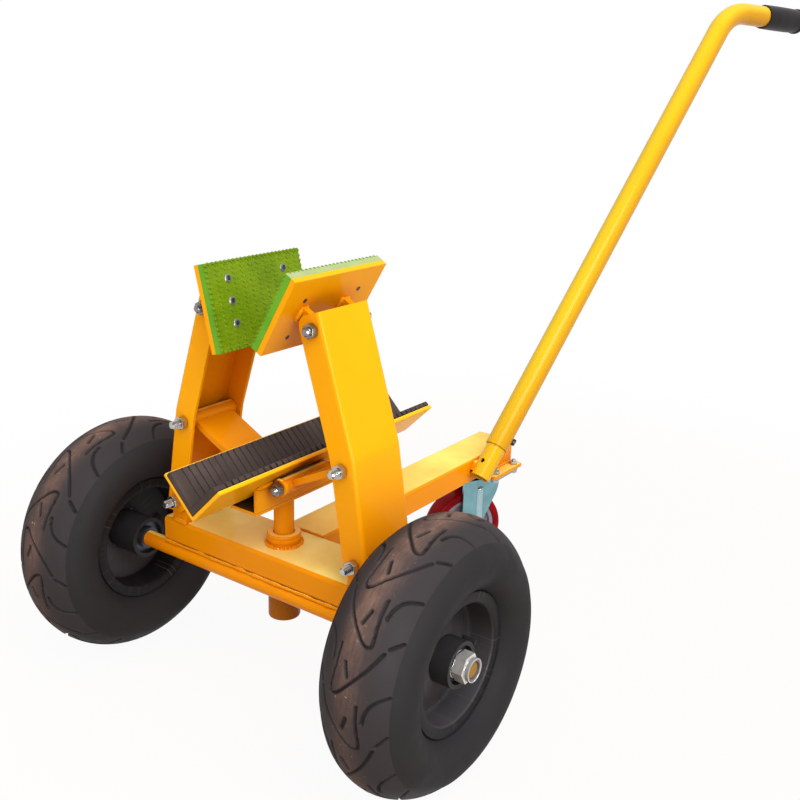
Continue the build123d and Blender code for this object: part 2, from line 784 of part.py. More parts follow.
for x in (-plate_bolt_x, plate_bolt_x):
    for y in (caster_y - plate_bolt_y, caster_y + plate_bolt_y):
        hole = rod((x, y, 0), (x, y, beam_top), plate_bolt_radius + fit_clear)
        mount_plate -= hole
        top_plate -= hole
        tip = tongue_bottom + plate_bolt_nut + plate_bolt_tail
        head_low = top_plate_bottom - plate_bolt_head
        head = hexagon((x, y, head_low), (x, y, top_plate_bottom), plate_bolt_flats)
        plate_bolts.append(head + rod((x, y, top_plate_bottom), (x, y, tip), plate_bolt_radius))
        nut = hexagon(
            (x, y, tongue_bottom), (x, y, tongue_bottom + plate_bolt_nut),
            plate_bolt_flats, plate_bolt_radius + fit_clear,
        )
        plate_bolts.append(nut)

# The caster below its plate is drawn about the swivel axis, with the wheel trailing forwards
caster_hub_z = caster_radius
race_top = top_plate_bottom - side_clear
race_bottom = race_top - race_height
crown_bottom = race_bottom - fork_sheet
leg_inner = caster_width / 2 + caster_gap
leg_outer = leg_inner + fork_sheet
fork_front = -caster_trail - fork_eye_radius
leg_outline = make_face(Polyline(
    (fork_front, caster_hub_z), (fork_front, race_bottom), (fork_rear, race_bottom),
    (fork_rear, crown_bottom - fork_eye_radius),
    (fork_eye_radius - caster_trail, caster_hub_z), close=True,
))
leg_outline += Pos(-caster_trail, caster_hub_z) * Circle(fork_eye_radius)
leg_plane = Plane(origin=(0, 0, 0), x_dir=(0, 1, 0), z_dir=(1, 0, 0))
caster_leg = Pos(leg_inner, 0, 0) * extrude(leg_plane * leg_outline, fork_sheet)
caster_fork = block((-leg_outer, leg_outer), (fork_front, fork_rear), (crown_bottom, race_bottom))
for twin in pair(caster_leg):
    caster_fork += twin
caster_fork -= rod((0, 0, 0), (0, 0, race_top), kingpin_radius + run_clear)
caster_race = pipe((0, 0, race_bottom), (0, 0, race_top), race_radius, kingpin_radius + run_clear)
pin_line = Vector(0, -caster_trail, caster_hub_z)
pin_way = Vector(1, 0, 0)
left_leg = pin_line - pin_way * leg_outer
right_leg = pin_line + pin_way * leg_outer
nut_end = right_leg + pin_way * bolt_nut
caster_fork -= rod(left_leg, right_leg, caster_bolt_radius + fit_clear)
caster_bolt = rod(left_leg, nut_end + pin_way * caster_bolt_tail, caster_bolt_radius)
caster_bolt += hexagon(left_leg - pin_way * bolt_head, left_leg, bolt_flats)
caster_nut = hexagon(right_leg, nut_end, bolt_flats, caster_bolt_radius + fit_clear)

# Caster wheel round the X axis
half_wheel = caster_width / 2
core_radius = caster_radius - caster_tread
tread_section = Pos(0, core_radius + caster_tread / 2) * Rectangle(caster_width, caster_tread)
tread_corners = tread_section.vertices().group_by(Axis.Y)[-1]
tread_section = fillet(tread_corners, caster_edge)
tread_bore = Pos(0, core_radius / 2) * Rectangle(2 * caster_width, core_radius + 2 * fit_clear)
caster_tread_ring = revolve(tread_section - tread_bore, axis=Axis.X)
core_half = half_wheel - 2
hub_bore = caster_bearing_radius + fit_clear
hub_wall = caster_hub_radius - hub_bore
core_section = Pos(0, hub_bore + hub_wall / 2) * Rectangle(2 * core_half, hub_wall)
core_section += Pos(0, (hub_bore + core_radius) / 2) * Rectangle(caster_web, core_radius - hub_bore)
core_section += Pos(0, core_radius - caster_rim / 2) * Rectangle(2 * core_half, caster_rim)
caster_core = revolve(core_section, axis=Axis.X)
caster_bearing = pipe(
    (core_half - caster_bearing_width, 0, 0), (core_half, 0, 0),
    caster_bearing_radius, caster_bolt_radius + run_clear,
)


def placed_swivel(shape):
    return Pos(0, caster_y, 0) * Rot(0, 0, caster_turn) * shape


def placed_caster(shape):
    return placed_swivel(Pos(0, -caster_trail, caster_hub_z) * shape)


# Every piece by its name, as one solid or a group of solids
nodes = {
    "cross_beam": [cross_beam],
    "beam_end_caps": pair(beam_cap),
    "tongue": [tongue],
    "tongue_end_cap": [tongue_end_cap],
    "axle_bar": [axle_bar],
    "axle_collars": pair(axle_collar),
    "axle_washers": pair(axle_washer),
    "axle_nuts": pair(axle_nut),
    "axle_nut_inserts": pair(nut_insert),
    "guide_tube": [guide_tube],
    "guide_collar": [guide_collar],
    "guide_bush": [guide_bush],
    "guide_plug": [guide_plug],
    "return_spring": [return_spring],
    "base_lugs": base_lugs,
    "base_pivot_bolts": base_pivot_bolts,
    "caster_mount_plate": [mount_plate],
    "handle_socket": [handle_socket],
    "socket_saddle": [socket_saddle],
    "handle_tube": [handle_tube],
    "handle_grip": [handle_grip],
    "handle_lock_bolt": [lock_head + lock_shank],
    "caster_top_plate": [top_plate],
    "caster_plate_bolts": plate_bolts,
    "caster_kingpin": [kingpin],
    "caster_fork": [placed_swivel(caster_fork)],
    "caster_race": [placed_swivel(caster_race)],
    "caster_axle_bolt": [placed_swivel(caster_bolt), placed_swivel(caster_nut)],
    "caster_core": [placed_caster(caster_core)],
    "caster_tread": [placed_caster(caster_tread_ring)],
    "caster_bearings": [placed_caster(ring) for ring in pair(caster_bearing)],
    "cradle_channel": [cradle_channel],
    "cradle_post": [cradle_post],
    "post_ring": [post_ring],
    "trough": [trough],
    "trough_pads": trough_pads,
    "link_bolts": link_bolts,
    "right_link": [right_link],
    "left_link": [mirrored(right_link)],
    "right_arm": [right_arm],
    "left_arm": [mirrored(right_arm)],
    "right_arm_bolts": arm_bolts,
    "left_arm_bolts": [mirrored(solid) for solid in arm_bolts],
}
wheel_pieces = {
    "tyre": [tyre()],
    "rim": [rim()],
    "hub": [hub()],
    "bearings": wheel_bearings(),
    "valve": [valve()],
}
for name, solids in wheel_pieces.items():
    nodes["right_" + name] = [placed_wheel(solid) for solid in solids]
    nodes["left_" + name] = [mirrored(placed_wheel(solid)) for solid in solids]


def jaw_pieces(rise):
    return {
        "jaw_plate": [jaw_plate_shape(rise)],
        "jaw_pad": [jaw_pad_shape(rise)],
        "pad_screws": pad_screw_shapes(rise),
    }


for name, solids in jaw_pieces(right_screw_rise).items():
    nodes["right_" + name] = [tilted(solid, right_jaw_tilt) for solid in solids]
for name, solids in jaw_pieces(left_screw_rise).items():
    nodes["left_" + name] = [mirrored(tilted(solid, left_jaw_tilt)) for solid in solids]

# The frame's origin lies on the floor under the middle of the whole length
front_y = -tyre_radius
grip_spread = grip_flange_radius * math.sqrt(1 - grip_axis.Y ** 2)
back_y = grip_stop.Y + grip_spread
origin_shift = Pos(0, -(front_y + back_y) / 2, 0)

for name, solids in nodes.items():
    shape = solids[0] if len(solids) == 1 else Compound(solids)
    export_step(origin_shift * shape, f"parts/{name}.step")
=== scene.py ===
import math

import bmesh
import bpy
import numpy as np
from mathutils import Matrix, Vector, noise


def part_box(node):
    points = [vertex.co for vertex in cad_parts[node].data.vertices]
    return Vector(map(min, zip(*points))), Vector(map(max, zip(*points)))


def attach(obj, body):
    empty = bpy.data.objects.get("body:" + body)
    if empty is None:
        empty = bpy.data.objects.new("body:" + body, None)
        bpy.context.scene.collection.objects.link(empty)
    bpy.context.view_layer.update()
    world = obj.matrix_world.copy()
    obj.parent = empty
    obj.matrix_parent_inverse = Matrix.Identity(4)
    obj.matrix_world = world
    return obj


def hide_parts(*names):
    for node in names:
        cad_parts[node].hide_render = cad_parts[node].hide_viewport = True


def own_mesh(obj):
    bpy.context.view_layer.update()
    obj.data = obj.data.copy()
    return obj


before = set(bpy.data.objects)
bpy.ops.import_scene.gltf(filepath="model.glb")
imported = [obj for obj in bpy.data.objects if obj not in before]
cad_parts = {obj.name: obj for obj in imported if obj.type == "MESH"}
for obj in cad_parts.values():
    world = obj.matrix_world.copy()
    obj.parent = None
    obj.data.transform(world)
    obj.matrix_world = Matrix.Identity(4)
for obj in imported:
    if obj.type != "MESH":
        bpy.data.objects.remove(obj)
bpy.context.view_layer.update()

# Axle: a 25 mm steel bar that runs under the whole frame from one wheel nut to the other.
# It is welded up before the frame is sprayed, so the yellow paint covers it to its ends.
axle_low, axle_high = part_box("axle_bar")
axle_y = (axle_low.y + axle_high.y) / 2
axle_z = (axle_low.z + axle_high.z) / 2


def place(x, y, z):
    """Point measured from the floor under the axle's middle: to the right, back and up."""
    return Vector((x, axle_y + y, z))


def new_finish(name):
    """New material, its node tree and its main shader."""
    finish = bpy.data.materials.new(name)
    finish.use_nodes = True
    return finish, finish.node_tree, finish.node_tree.nodes["Principled BSDF"]


def feed(tree, socket, value):
    """Set a socket to a value, or join it to the socket that gives the value."""
    if isinstance(value, bpy.types.NodeSocket):
        tree.links.new(value, socket)
    else:
        socket.default_value = value


def wire(tree, node, **sockets):
    """Feed a node's sockets by name."""
    for name, value in sockets.items():
        feed(tree, node.inputs[name.replace("_", " ")], value)


def add_node(tree, kind, settings=None, **sockets):
    """Node of one kind, with its settings made and its sockets fed."""
    node = tree.nodes.new("ShaderNode" + kind)
    for name, value in (settings or {}).items():
        setattr(node, name, value)
    wire(tree, node, **sockets)
    return node


def ramp(tree, factor, low, high):
    """Number that goes from 0 to 1 while the factor goes from low to high."""
    smooth = {"interpolation_type": "SMOOTHSTEP"}
    node = add_node(tree, "MapRange", smooth, Value=factor, From_Min=low, From_Max=high)
    return node.outputs["Result"]


def spread(tree, factor, low, high):
    """Number between low and high, as the factor goes from 0 to 1."""
    return add_node(tree, "MapRange", Value=factor, To_Min=low, To_Max=high).outputs["Result"]


def calculated(tree, operation, *values, kind="Math"):
    """Number that one sum gives on numbers, vectors or sockets."""
    node = add_node(tree, kind, {"operation": operation})
    for socket, value in zip(node.inputs, values):
        feed(tree, socket, value)
    return node.outputs["Value"]


def times(tree, first, second):
    """One number times another."""
    return calculated(tree, "MULTIPLY", first, second)


def tinted(tree, factor, first, second):
    """Colour between two others; the node keeps its colours in sockets 6 and 7."""
    node = add_node(tree, "Mix", {"data_type": "RGBA"})
    feed(tree, node.inputs[0], factor)
    for number, colour in ((6, first), (7, second)):
        plain = not isinstance(colour, bpy.types.NodeSocket)
        feed(tree, node.inputs[number], (*colour, 1) if plain else colour)
    return node.outputs[2]


def speckle(tree, scale, detail=3.0, rough=0.5, where=None):
    """Noise from 0 to 1 over the piece's own space, or over another that is given."""
    if where is None:
        where = add_node(tree, "TexCoord").outputs["Object"]
    node = add_node(tree, "TexNoise", Vector=where, Scale=scale, Detail=detail, Roughness=rough)
    return node.outputs["Fac"]


def open_sky(tree, reach, samples=6):
    """How open a spot is to the light round it: 1 in the open, 0 deep in a corner."""
    return add_node(tree, "AmbientOcclusion", {"samples": samples}, Distance=reach).outputs["AO"]


def relief(tree, *layers):
    """Bump from several (height, strength, distance) layers, the coarse ones first."""
    normal = None
    for height, strength, distance in layers:
        node = add_node(tree, "Bump", Height=height, Strength=strength, Distance=distance)
        if normal:
            feed(tree, node.inputs["Normal"], normal)
        normal = node.outputs["Normal"]
    return normal


def sprayed_paint(name, lit, deep, dust_and_sheen, gloss=0.05, under=0.0):
    """Golden gloss paint: painted shade in hollows, low down and underneath, dust and painted sheen on top,
    chipped edges.
    """
    finish, tree, shader = new_finish(name)
    # Shade is painted into the colour: a dark brown near the floor, and near-black in the deepest hollows;
    # the primer shows where the paint is chipped.
    floor_shadow, hollow_shade, primer = (0.26, 0.08, 0.006), (0.04, 0.015, 0.005), (0.16, 0.07, 0.025)
    shade = open_sky(tree, 0.14, 10)
    flat = add_node(tree, "NewGeometry").outputs["Normal"]
    facing = add_node(tree, "SeparateXYZ", Vector=flat).outputs["Z"]
    where = add_node(tree, "TexCoord").outputs["Object"]
    height = add_node(tree, "SeparateXYZ", Vector=where).outputs["Z"]
    # The film on top faces is dust and painted sheen: a paler tint that stands in for the gloss reflection on
    # them.
    dust_sheen_share = spread(tree, ramp(tree, speckle(tree, 9.0, 5.0, 0.6), 0.3, 0.7), 0.6, 1.0)
    rounded = add_node(tree, "Bevel", {"samples": 4}, Radius=0.0025).outputs["Normal"]
    edge = ramp(tree, calculated(tree, "DOT_PRODUCT", rounded, flat, kind="VectorMath"), 0.97, 0.88)
    chip = times(tree, edge, ramp(tree, speckle(tree, 170.0), 0.66, 0.70))
    scuff = ramp(tree, speckle(tree, 210.0, 2.0), 0.775, 0.80)
    worn = calculated(tree, "MAXIMUM", chip, times(tree, scuff, 0.5))
    cloud = ramp(tree, speckle(tree, 5.0), 0.35, 0.7)
    colour = tinted(tree, cloud, lit, [0.93 * part for part in lit])
    # Layers in turn: painted shade in hollows, painted shade low down, painted shadow near the floor,
    # near-black painted shade in the deepest hollows, painted shade on undersides, dust and painted sheen on
    # top faces, and chips to the primer.
    for share, strength, tint in (
        (ramp(tree, shade, 0.92, 0.3), 0.65, deep),
        (ramp(tree, height, 0.46, 0.20), 0.55, deep),
        (ramp(tree, height, 0.185, 0.15), 0.8, floor_shadow),
        (ramp(tree, shade, 0.2, 0.06), 0.9, hollow_shade),
        (ramp(tree, facing, 0.72, 0.0), under, deep),
        (ramp(tree, facing, 0.93, 0.99), dust_sheen_share, dust_and_sheen),
        (worn, 1.0, primer),
    ):
        colour = tinted(tree, times(tree, share, strength), colour, tint)
    skin = relief(
        tree, (speckle(tree, 14.0, 2.0), 0.10, 0.002), (speckle(tree, 260.0, 2.0), 0.025, 0.0005),
        (scuff, -0.2, 0.0004),
    )
    wire(
        tree, shader, Base_Color=colour, Roughness=spread(tree, speckle(tree, 22.0), 0.17, 0.32),
        Normal=skin, Specular_IOR_Level=0.05, Coat_Weight=gloss, Coat_Roughness=0.08,
    )
    return finish


def made_mesh(bm, name):
    """Mesh of what was drawn."""
    mesh = bpy.data.meshes.new(name)
    bm.to_mesh(mesh)
    bm.free()
    return mesh


def show(name, data):
    """Put an object into the scene."""
    thing = bpy.data.objects.new(name, data)
    bpy.context.scene.collection.objects.link(thing)
    return thing


def finished(bm, name, finish, body, nodes=(), soft=0.0, segments=3, crease=40, put=None):
    """Make a mesh into a piece that rides on its body and stands for its solids."""
    if put is not None:
        bmesh.ops.transform(bm, matrix=put, verts=bm.verts[:])
    bmesh.ops.recalc_face_normals(bm, faces=bm.faces[:])
    mesh = made_mesh(bm, name)
    mesh.materials.append(finish)
    mesh.shade_smooth()
    piece = show(name, mesh)
    if soft:
        rounding = piece.modifiers.new("soft_edges", "BEVEL")
        rounding.width = soft
        rounding.segments = segments
        rounding.limit_method = "ANGLE"
        rounding.angle_limit = math.radians(32)
        rounding.harden_normals = True
    else:
        mesh.set_sharp_from_angle(angle=math.radians(crease))
    levelled = piece.modifiers.new("flat_faces", "WEIGHTED_NORMAL")
    levelled.keep_sharp = True
    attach(piece, body)
    if nodes:
        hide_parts(*nodes)
    return piece


def part_finish(piece, finish, chosen):
    """Give one more finish to those faces of a piece that are chosen."""
    piece.data.materials.append(finish)
    for face in piece.data.polygons:
        if chosen(face):
            face.material_index = len(piece.data.materials) - 1


def add_turned(bm, outline, start, way, steps=48):
    """Spin an outline of (distance along the axis, radius) round that axis."""
    start = Vector(start)
    way = Vector(way).normalized()
    out = way.orthogonal().normalized()
    row = [bm.verts.new(start + way * along + out * radius) for along, radius in outline]
    line = [bm.edges.new(ends) for ends in zip(row, row[1:])]
    bmesh.ops.spin(
        bm, geom=row + line, cent=start, axis=way, angle=2 * math.pi, steps=steps, use_merge=True,
    )
    bmesh.ops.remove_doubles(bm, verts=bm.verts[:], dist=1e-6)


# The paint's darker tone is its painted shade, and its pale top tint is dust and painted sheen.
gold, shaded_gold, pale_dust_sheen = (1.0, 0.45, 0.003), (0.70, 0.165, 0.001), (1.0, 0.76, 0.155)
yellow = sprayed_paint("yellow_paint", gold, shaded_gold, pale_dust_sheen)
# A darker copy of the paint for the axle's end faces: painted shade for their recess inside the nuts.
axle_end_shade = sprayed_paint("axle_end_shade_paint", (0.46, 0.27, 0.025), (0.20, 0.09, 0.012), (0.5, 0.32, 0.06))
axle_half, axle_radius, thread_radius = axle_high.x, 0.0125, 0.012
washer_thick = 0.004
washer_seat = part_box("axle_washers")[1].x - washer_thick
thread_length = axle_half - washer_seat
half_axle = [
    (0.0, 0.0), (0.0, thread_radius - 0.0018), (0.0016, thread_radius), (thread_length, thread_radius),
    (thread_length, axle_radius), (axle_half, axle_radius),
]
bm = bmesh.new()
for side in (-1, 1):
    add_turned(bm, half_axle, (side * axle_half, axle_y, axle_z), (-side, 0, 0), steps=40)
axle = finished(bm, "axle", yellow, "chassis", ["axle_bar"])
part_finish(axle, axle_end_shade, lambda face: abs(face.center.x) > axle_half - 0.002)

# Cross-beam: the rectangular steel tube across the frame that everything else is welded to.
# Its ends are closed with plates, and long fillet welds join it to the axle below it.
def add_box(bm, low, high):
    """Box between two corners; gives back its eight points."""
    corners = bmesh.ops.create_cube(bm, size=1.0)["verts"]
    low, high = Vector(low), Vector(high)
    bmesh.ops.scale(bm, vec=high - low, verts=corners)
    bmesh.ops.translate(bm, vec=(low + high) / 2, verts=corners)
    return corners


def round_along(bm, corners, axis, radius, segments=6):
    """Round those edges of a box that run along one axis."""
    edges = {edge for corner in corners for edge in corner.link_edges}
    chosen = []
    for edge in edges:
        run = (edge.verts[1].co - edge.verts[0].co).normalized()
        if abs(run[axis]) > 0.99:
            chosen.append(edge)
    bmesh.ops.bevel(
        bm, geom=chosen, offset=radius, segments=segments, profile=0.5, affect="EDGES", material=-1,
    )


def join(bm, part):
    """Add a part drawn by itself to the mesh of its piece."""
    mesh = made_mesh(part, "part")
    bm.from_mesh(mesh)
    bpy.data.meshes.remove(mesh)


def lay_along(part, start, end):
    """Turn and move a part drawn along Z about the origin, to lie between two points."""
    start, end = Vector(start), Vector(end)
    turn = Vector((0, 0, 1)).rotation_difference(end - start).to_matrix().to_4x4()
    bmesh.ops.transform(part, matrix=Matrix.Translation((start + end) / 2) @ turn, verts=part.verts[:])


def add_weld(bm, start, end, radius, seed):
    """Weld bead: a thin rod in short rings that swell and wander as the passes do."""
    length = (Vector(end) - Vector(start)).length
    ring_step = 0.002
    bead = bmesh.new()
    bmesh.ops.create_cone(bead, cap_ends=True, segments=8, radius1=radius, radius2=radius, depth=length)
    along = [edge for edge in bead.edges if abs(edge.verts[0].co.z - edge.verts[1].co.z) > length / 2]
    bmesh.ops.subdivide_edges(bead, edges=along, cuts=max(int(length / ring_step), 6))
    for vert in bead.verts:
        z = vert.co.z
        swell = 1 + 0.14 * math.sin(z * 1150 + seed) + 0.45 * noise.noise((z * 70, seed, 0.5))
        swell *= min(1.0, 0.45 + (length / 2 - abs(z)) / (2 * radius))
        vert.co.x = vert.co.x * swell + 0.35 * radius * noise.noise((seed, z * 45, 1.5))
        vert.co.y = vert.co.y * swell + 0.35 * radius * noise.noise((z * 45, 2.5, seed))
    lay_along(bead, start, end)
    join(bm, bead)


beam_low, beam_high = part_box("cross_beam")
caps_low, caps_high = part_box("beam_end_caps")
beam_corner = 0.006
bm = bmesh.new()
round_along(bm, add_box(bm, beam_low, beam_high), axis=0, radius=beam_corner)
# The beam's top takes a paler top tint, part dust and part painted sheen that lifts it where the trough and
# arms shade it.
dust_sheen_yellow = sprayed_paint("dust_sheen_paint", gold, shaded_gold, (1.0, 0.90, 0.27))
finished(bm, "beam", dust_sheen_yellow, "chassis", ["cross_beam"])
bm = bmesh.new()
for inner, outer in ((caps_low.x, beam_low.x), (beam_high.x, caps_high.x)):
    cap = add_box(bm, (inner, caps_low.y, caps_low.z), (outer, caps_high.y, caps_high.z))
    round_along(bm, cap, axis=0, radius=beam_corner)
finished(bm, "beam_caps", yellow, "chassis", ["beam_end_caps"], soft=0.0012)
seam_half, seam_z = 0.204, beam_low.z + 0.0005
bm = bmesh.new()
for y, seed in ((-0.0068, 1.0), (0.0108, 2.0)):
    add_weld(bm, place(-seam_half, y, seam_z), place(seam_half, y, seam_z), radius=0.0023, seed=seed)
finished(bm, "axle_welds", yellow, "chassis", crease=70)

# Tongue: the lighter rectangular tube that runs back from the beam to the caster.
# It is butted against the beam's back, welded round, and closed with a plate at its end.
tongue_low, tongue_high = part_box("tongue")
tongue_corner, seam_low, seam_high = 0.004, 0.202, 0.239
bm = bmesh.new()
round_along(bm, add_box(bm, tongue_low, tongue_high), axis=1, radius=tongue_corner)
finished(bm, "tongue_tube", yellow, "chassis", ["tongue"])
bm = bmesh.new()
round_along(bm, add_box(bm, *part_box("tongue_end_cap")), axis=1, radius=tongue_corner)
finished(bm, "tongue_cap", yellow, "chassis", ["tongue_end_cap"], soft=0.001)
bm = bmesh.new()
for x, seed in ((tongue_low.x, 3.0), (tongue_high.x, 4.0)):
    add_weld(bm, (x, tongue_low.y, seam_low), (x, tongue_low.y, seam_high), radius=0.003, seed=seed)
for z, seed in ((beam_high.z, 5.0), (beam_low.z, 6.0)):
    ends = [(x, tongue_low.y - 0.002, z) for x in (tongue_low.x, tongue_high.x)]
    add_weld(bm, *ends, radius=0.0028, seed=seed)
finished(bm, "tongue_welds", yellow, "chassis", crease=70)

# Guide tube: the steel tube that goes down through the beam and leads the cradle's post.
# A thick collar closes its top round the post, and a ring of weld fixes it to the beam.
# Inside it are a bronze bush at the top and a plug at the foot.
def add_ring_weld(bm, centre, ring_radius, radius, seed):
    """Weld bead round an upright tube."""
    outline = []
    for number in range(9):
        angle = 2 * math.pi * number / 8
        outline.append((radius * math.sin(angle), ring_radius + radius * math.cos(angle)))
    bead = bmesh.new()
    add_turned(bead, outline, (0, 0, 0), (0, 0, 1), steps=120)
    for vert in bead.verts:
        turn = math.atan2(vert.co.y, vert.co.x)
        middle = Vector((math.cos(turn), math.sin(turn), 0)) * ring_radius
        swell = 1 + 0.16 * math.sin(36 * turn + seed)
        swell += 0.5 * noise.noise((3 * math.cos(turn), 3 * math.sin(turn), seed))
        vert.co = Vector(centre) + middle + (vert.co - middle) * swell
    join(bm, bead)


guide_low, guide_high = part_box("guide_tube")
guide_x = (guide_low.x + guide_high.x) / 2
guide_y = (guide_low.y + guide_high.y) / 2
guide_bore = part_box("post_ring")[1].x + 0.0001
guide_height, guide_radius = guide_high.z - guide_low.z, 0.0240
bm = bmesh.new()
add_turned(bm, [
    (0.0, guide_bore), (0.0, guide_radius - 0.0018), (0.0006, guide_radius - 0.0006), (0.0020, guide_radius),
    (guide_height, guide_radius), (guide_height, guide_bore), (0.0, guide_bore),
], (guide_x, guide_y, guide_low.z), (0, 0, 1), steps=64)
add_ring_weld(bm, (guide_x, guide_y, beam_high.z), guide_radius + 0.0012, radius=0.0036, seed=7.0)
add_ring_weld(bm, (guide_x, guide_y, beam_low.z), guide_radius + 0.0010, radius=0.0032, seed=8.0)
finished(bm, "guide", yellow, "chassis", ["guide_tube"])
collar_outline = [
    (0.0, 0.0154), (0.0, 0.0243), (0.0010, 0.0250), (0.0022, 0.0255), (0.0060, 0.0255),
    (0.0070, 0.0246), (0.0078, 0.0246), (0.0086, 0.0254), (0.0112, 0.0255), (0.0124, 0.0249),
    (0.0130, 0.0238), (0.0130, 0.0166), (0.0120, 0.0154), (0.0, 0.0154),
]
bm = bmesh.new()
add_turned(bm, collar_outline, (guide_x, guide_y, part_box("guide_collar")[0].z), (0, 0, 1), steps=64)
finished(bm, "collar", yellow, "chassis", ["guide_collar"])


def bare_metal(name, colour, deep, rough=(0.22, 0.4), metal=1.0, grain=60.0):
    """Plated or plain metal with faint clouding, fine scratches and painted shade darkening its corners."""
    finish, tree, shader = new_finish(name)
    cloud = ramp(tree, speckle(tree, grain, 4.0), 0.3, 0.75)
    tone = tinted(tree, cloud, colour, [0.8 * part for part in colour])
    wire(
        tree, shader, Base_Color=tinted(tree, ramp(tree, open_sky(tree, 0.006), 0.7, 0.1), tone, deep),
        Metallic=metal, Roughness=spread(tree, speckle(tree, 3 * grain), *rough),
        Normal=relief(tree, (speckle(tree, 5 * grain, 2.0), 0.08, 0.0004)),
    )
    return finish


def dress(finish, *nodes):
    """Give solids that stay as they are a better finish."""
    for node in nodes:
        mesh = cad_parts[node].data
        mesh.materials.clear()
        mesh.materials.append(finish)


dress(bare_metal("bush_bronze", (0.50, 0.30, 0.12), (0.10, 0.05, 0.02)), "guide_bush")
dress(yellow, "guide_plug")

# Return spring: a steel coil that stands on the plug and pushes the cradle's post up again.
# It gets shorter by the whole of the cradle's travel when a slab comes down on the trough; here it is drawn
# at its full length.
spring_low, spring_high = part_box("return_spring")
wire_radius, spring_coils, coil_steps, cradle_travel = 0.002, 6, 32, 0.020
spring_height = spring_high.z - spring_low.z
coil_radius = (spring_high.x - spring_low.x) / 2 - wire_radius
all_steps = spring_coils * coil_steps
coil_start = Vector((guide_x + coil_radius, guide_y, spring_low.z + wire_radius))
upright = Matrix.Translation(coil_start) @ Matrix.Rotation(math.radians(90), 4, "X")
bm = bmesh.new()
ring = bmesh.ops.create_circle(bm, segments=10, radius=wire_radius)["verts"]
bmesh.ops.transform(bm, matrix=upright, verts=ring)
bmesh.ops.spin(
    bm, geom=ring + bm.edges[:], cent=(guide_x, guide_y, 0), axis=(0, 0, 1),
    dvec=(0, 0, (spring_height - 2 * wire_radius) / all_steps),
    angle=2 * math.pi * spring_coils, steps=all_steps,
)
bmesh.ops.holes_fill(bm, edges=bm.edges[:], sides=0)
spring_steel = bare_metal("spring_steel", (0.10, 0.10, 0.11), (0.02, 0.02, 0.02))
spring = finished(bm, "spring_coil", spring_steel, "chassis", ["return_spring"])
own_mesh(spring)

# Base lugs: four thick steel ears that stand on the beam and carry the arms' lower pivots.
# They are flame cut, rounded at the top, and welded down along their feet.
def add_plate(bm, corners, thickness, rounded=(), segments=10):
    """Plate cut to an outline, some of its corners rounded, drawn out to its thickness."""
    plate = bmesh.new()
    ring = [plate.verts.new(corner) for corner in corners]
    plate.faces.new(ring)
    for number, radius in rounded:
        bmesh.ops.bevel(
            plate, geom=[ring[number]], offset=radius, segments=segments, profile=0.5,
            affect="VERTICES", material=-1,
        )
    drawn = bmesh.ops.extrude_face_region(plate, geom=plate.faces[:])["geom"]
    moved = [part for part in drawn if isinstance(part, bmesh.types.BMVert)]
    bmesh.ops.translate(plate, vec=thickness, verts=moved)
    join(bm, plate)


arm_front, arm_back = (corner.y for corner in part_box("right_arm"))
arm_middle = (arm_front + arm_back) / 2
lug_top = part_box("base_lugs")[1].z
lug_half, lug_thick, lug_gap, lug_round = 0.015, 0.012, 0.0345, 0.01499
base_x, base_z = 0.172, lug_top - lug_half
lug_foot = beam_high.z - 0.001
bm = bmesh.new()
for side in (-1, 1):
    left, right = side * base_x - lug_half, side * base_x + lug_half
    for y in (arm_middle - lug_gap - lug_thick, arm_middle + lug_gap):
        corners = [(left, y, lug_foot), (right, y, lug_foot), (right, y, lug_top), (left, y, lug_top)]
        add_plate(bm, corners, (0, lug_thick, 0), [(2, lug_round), (3, lug_round)], segments=14)
finished(bm, "lugs", yellow, "chassis", ["base_lugs"], soft=0.0008, segments=2)
bm = bmesh.new()
for side in (-1, 1):
    for number, y in enumerate((-lug_gap - lug_thick, -lug_gap, lug_gap, lug_gap + lug_thick)):
        ends = [(side * base_x + x, arm_middle + y, beam_high.z + 0.0006) for x in (-0.016, 0.016)]
        add_weld(bm, *ends, radius=0.0032, seed=9.0 + side + number)
finished(bm, "lug_welds", yellow, "chassis", crease=70)

# Pivot bolts: zinc-plated hexagon bolts with lock nuts, on which the arms, links and jaws turn.
# Their heads are behind, and a length of thread stands out of each nut in front.
def add_hex(bm, start, end, flats):
    """Bolt head or nut between two points, its rims softened."""
    corner = flats / math.sqrt(3)
    length = (Vector(end) - Vector(start)).length
    prism = bmesh.new()
    bmesh.ops.create_cone(prism, cap_ends=True, segments=6, depth=length, radius1=corner, radius2=corner)
    rims = [edge for edge in prism.edges if abs(edge.verts[0].co.z - edge.verts[1].co.z) < 1e-6]
    bmesh.ops.bevel(
        prism, geom=rims, offset=0.06 * flats, segments=3, profile=0.5, affect="EDGES", material=-1,
    )
    lay_along(prism, start, end)
    join(bm, prism)


def thread_outline(length, radius, pitch):
    """Outline of a threaded end, from its chamfered tip back to the nut."""
    along = 0.2 * radius
    root = 0.86 * radius
    outline = [(0.0, 0.0), (0.0, 0.7 * radius), (along, 0.9 * radius)]
    while along + pitch < length:
        outline += [(along + 0.35 * pitch, radius), (along + 0.5 * pitch, radius), (along + pitch, root)]
        along += pitch
    return outline


def add_pivot_bolt(bm, x, z, front, back, tail):
    """Bolt along Y with its head at the back, and a nut and a tail of thread in front."""
    flats, shank, pitch, nut, head, play = 0.018, 0.006, 0.00175, 0.010, 0.008, 0.0005
    nut_front = front - play - nut
    add_hex(bm, (x, back + play, z), (x, back + play + head, z), flats)
    add_hex(bm, (x, nut_front, z), (x, front - play, z), flats)
    outline = thread_outline(tail, shank, pitch)
    outline += [(tail, shank), (back + 2 * play - nut_front + tail, shank)]
    add_turned(bm, outline, (x, nut_front - tail, z), (0, 1, 0), steps=24)


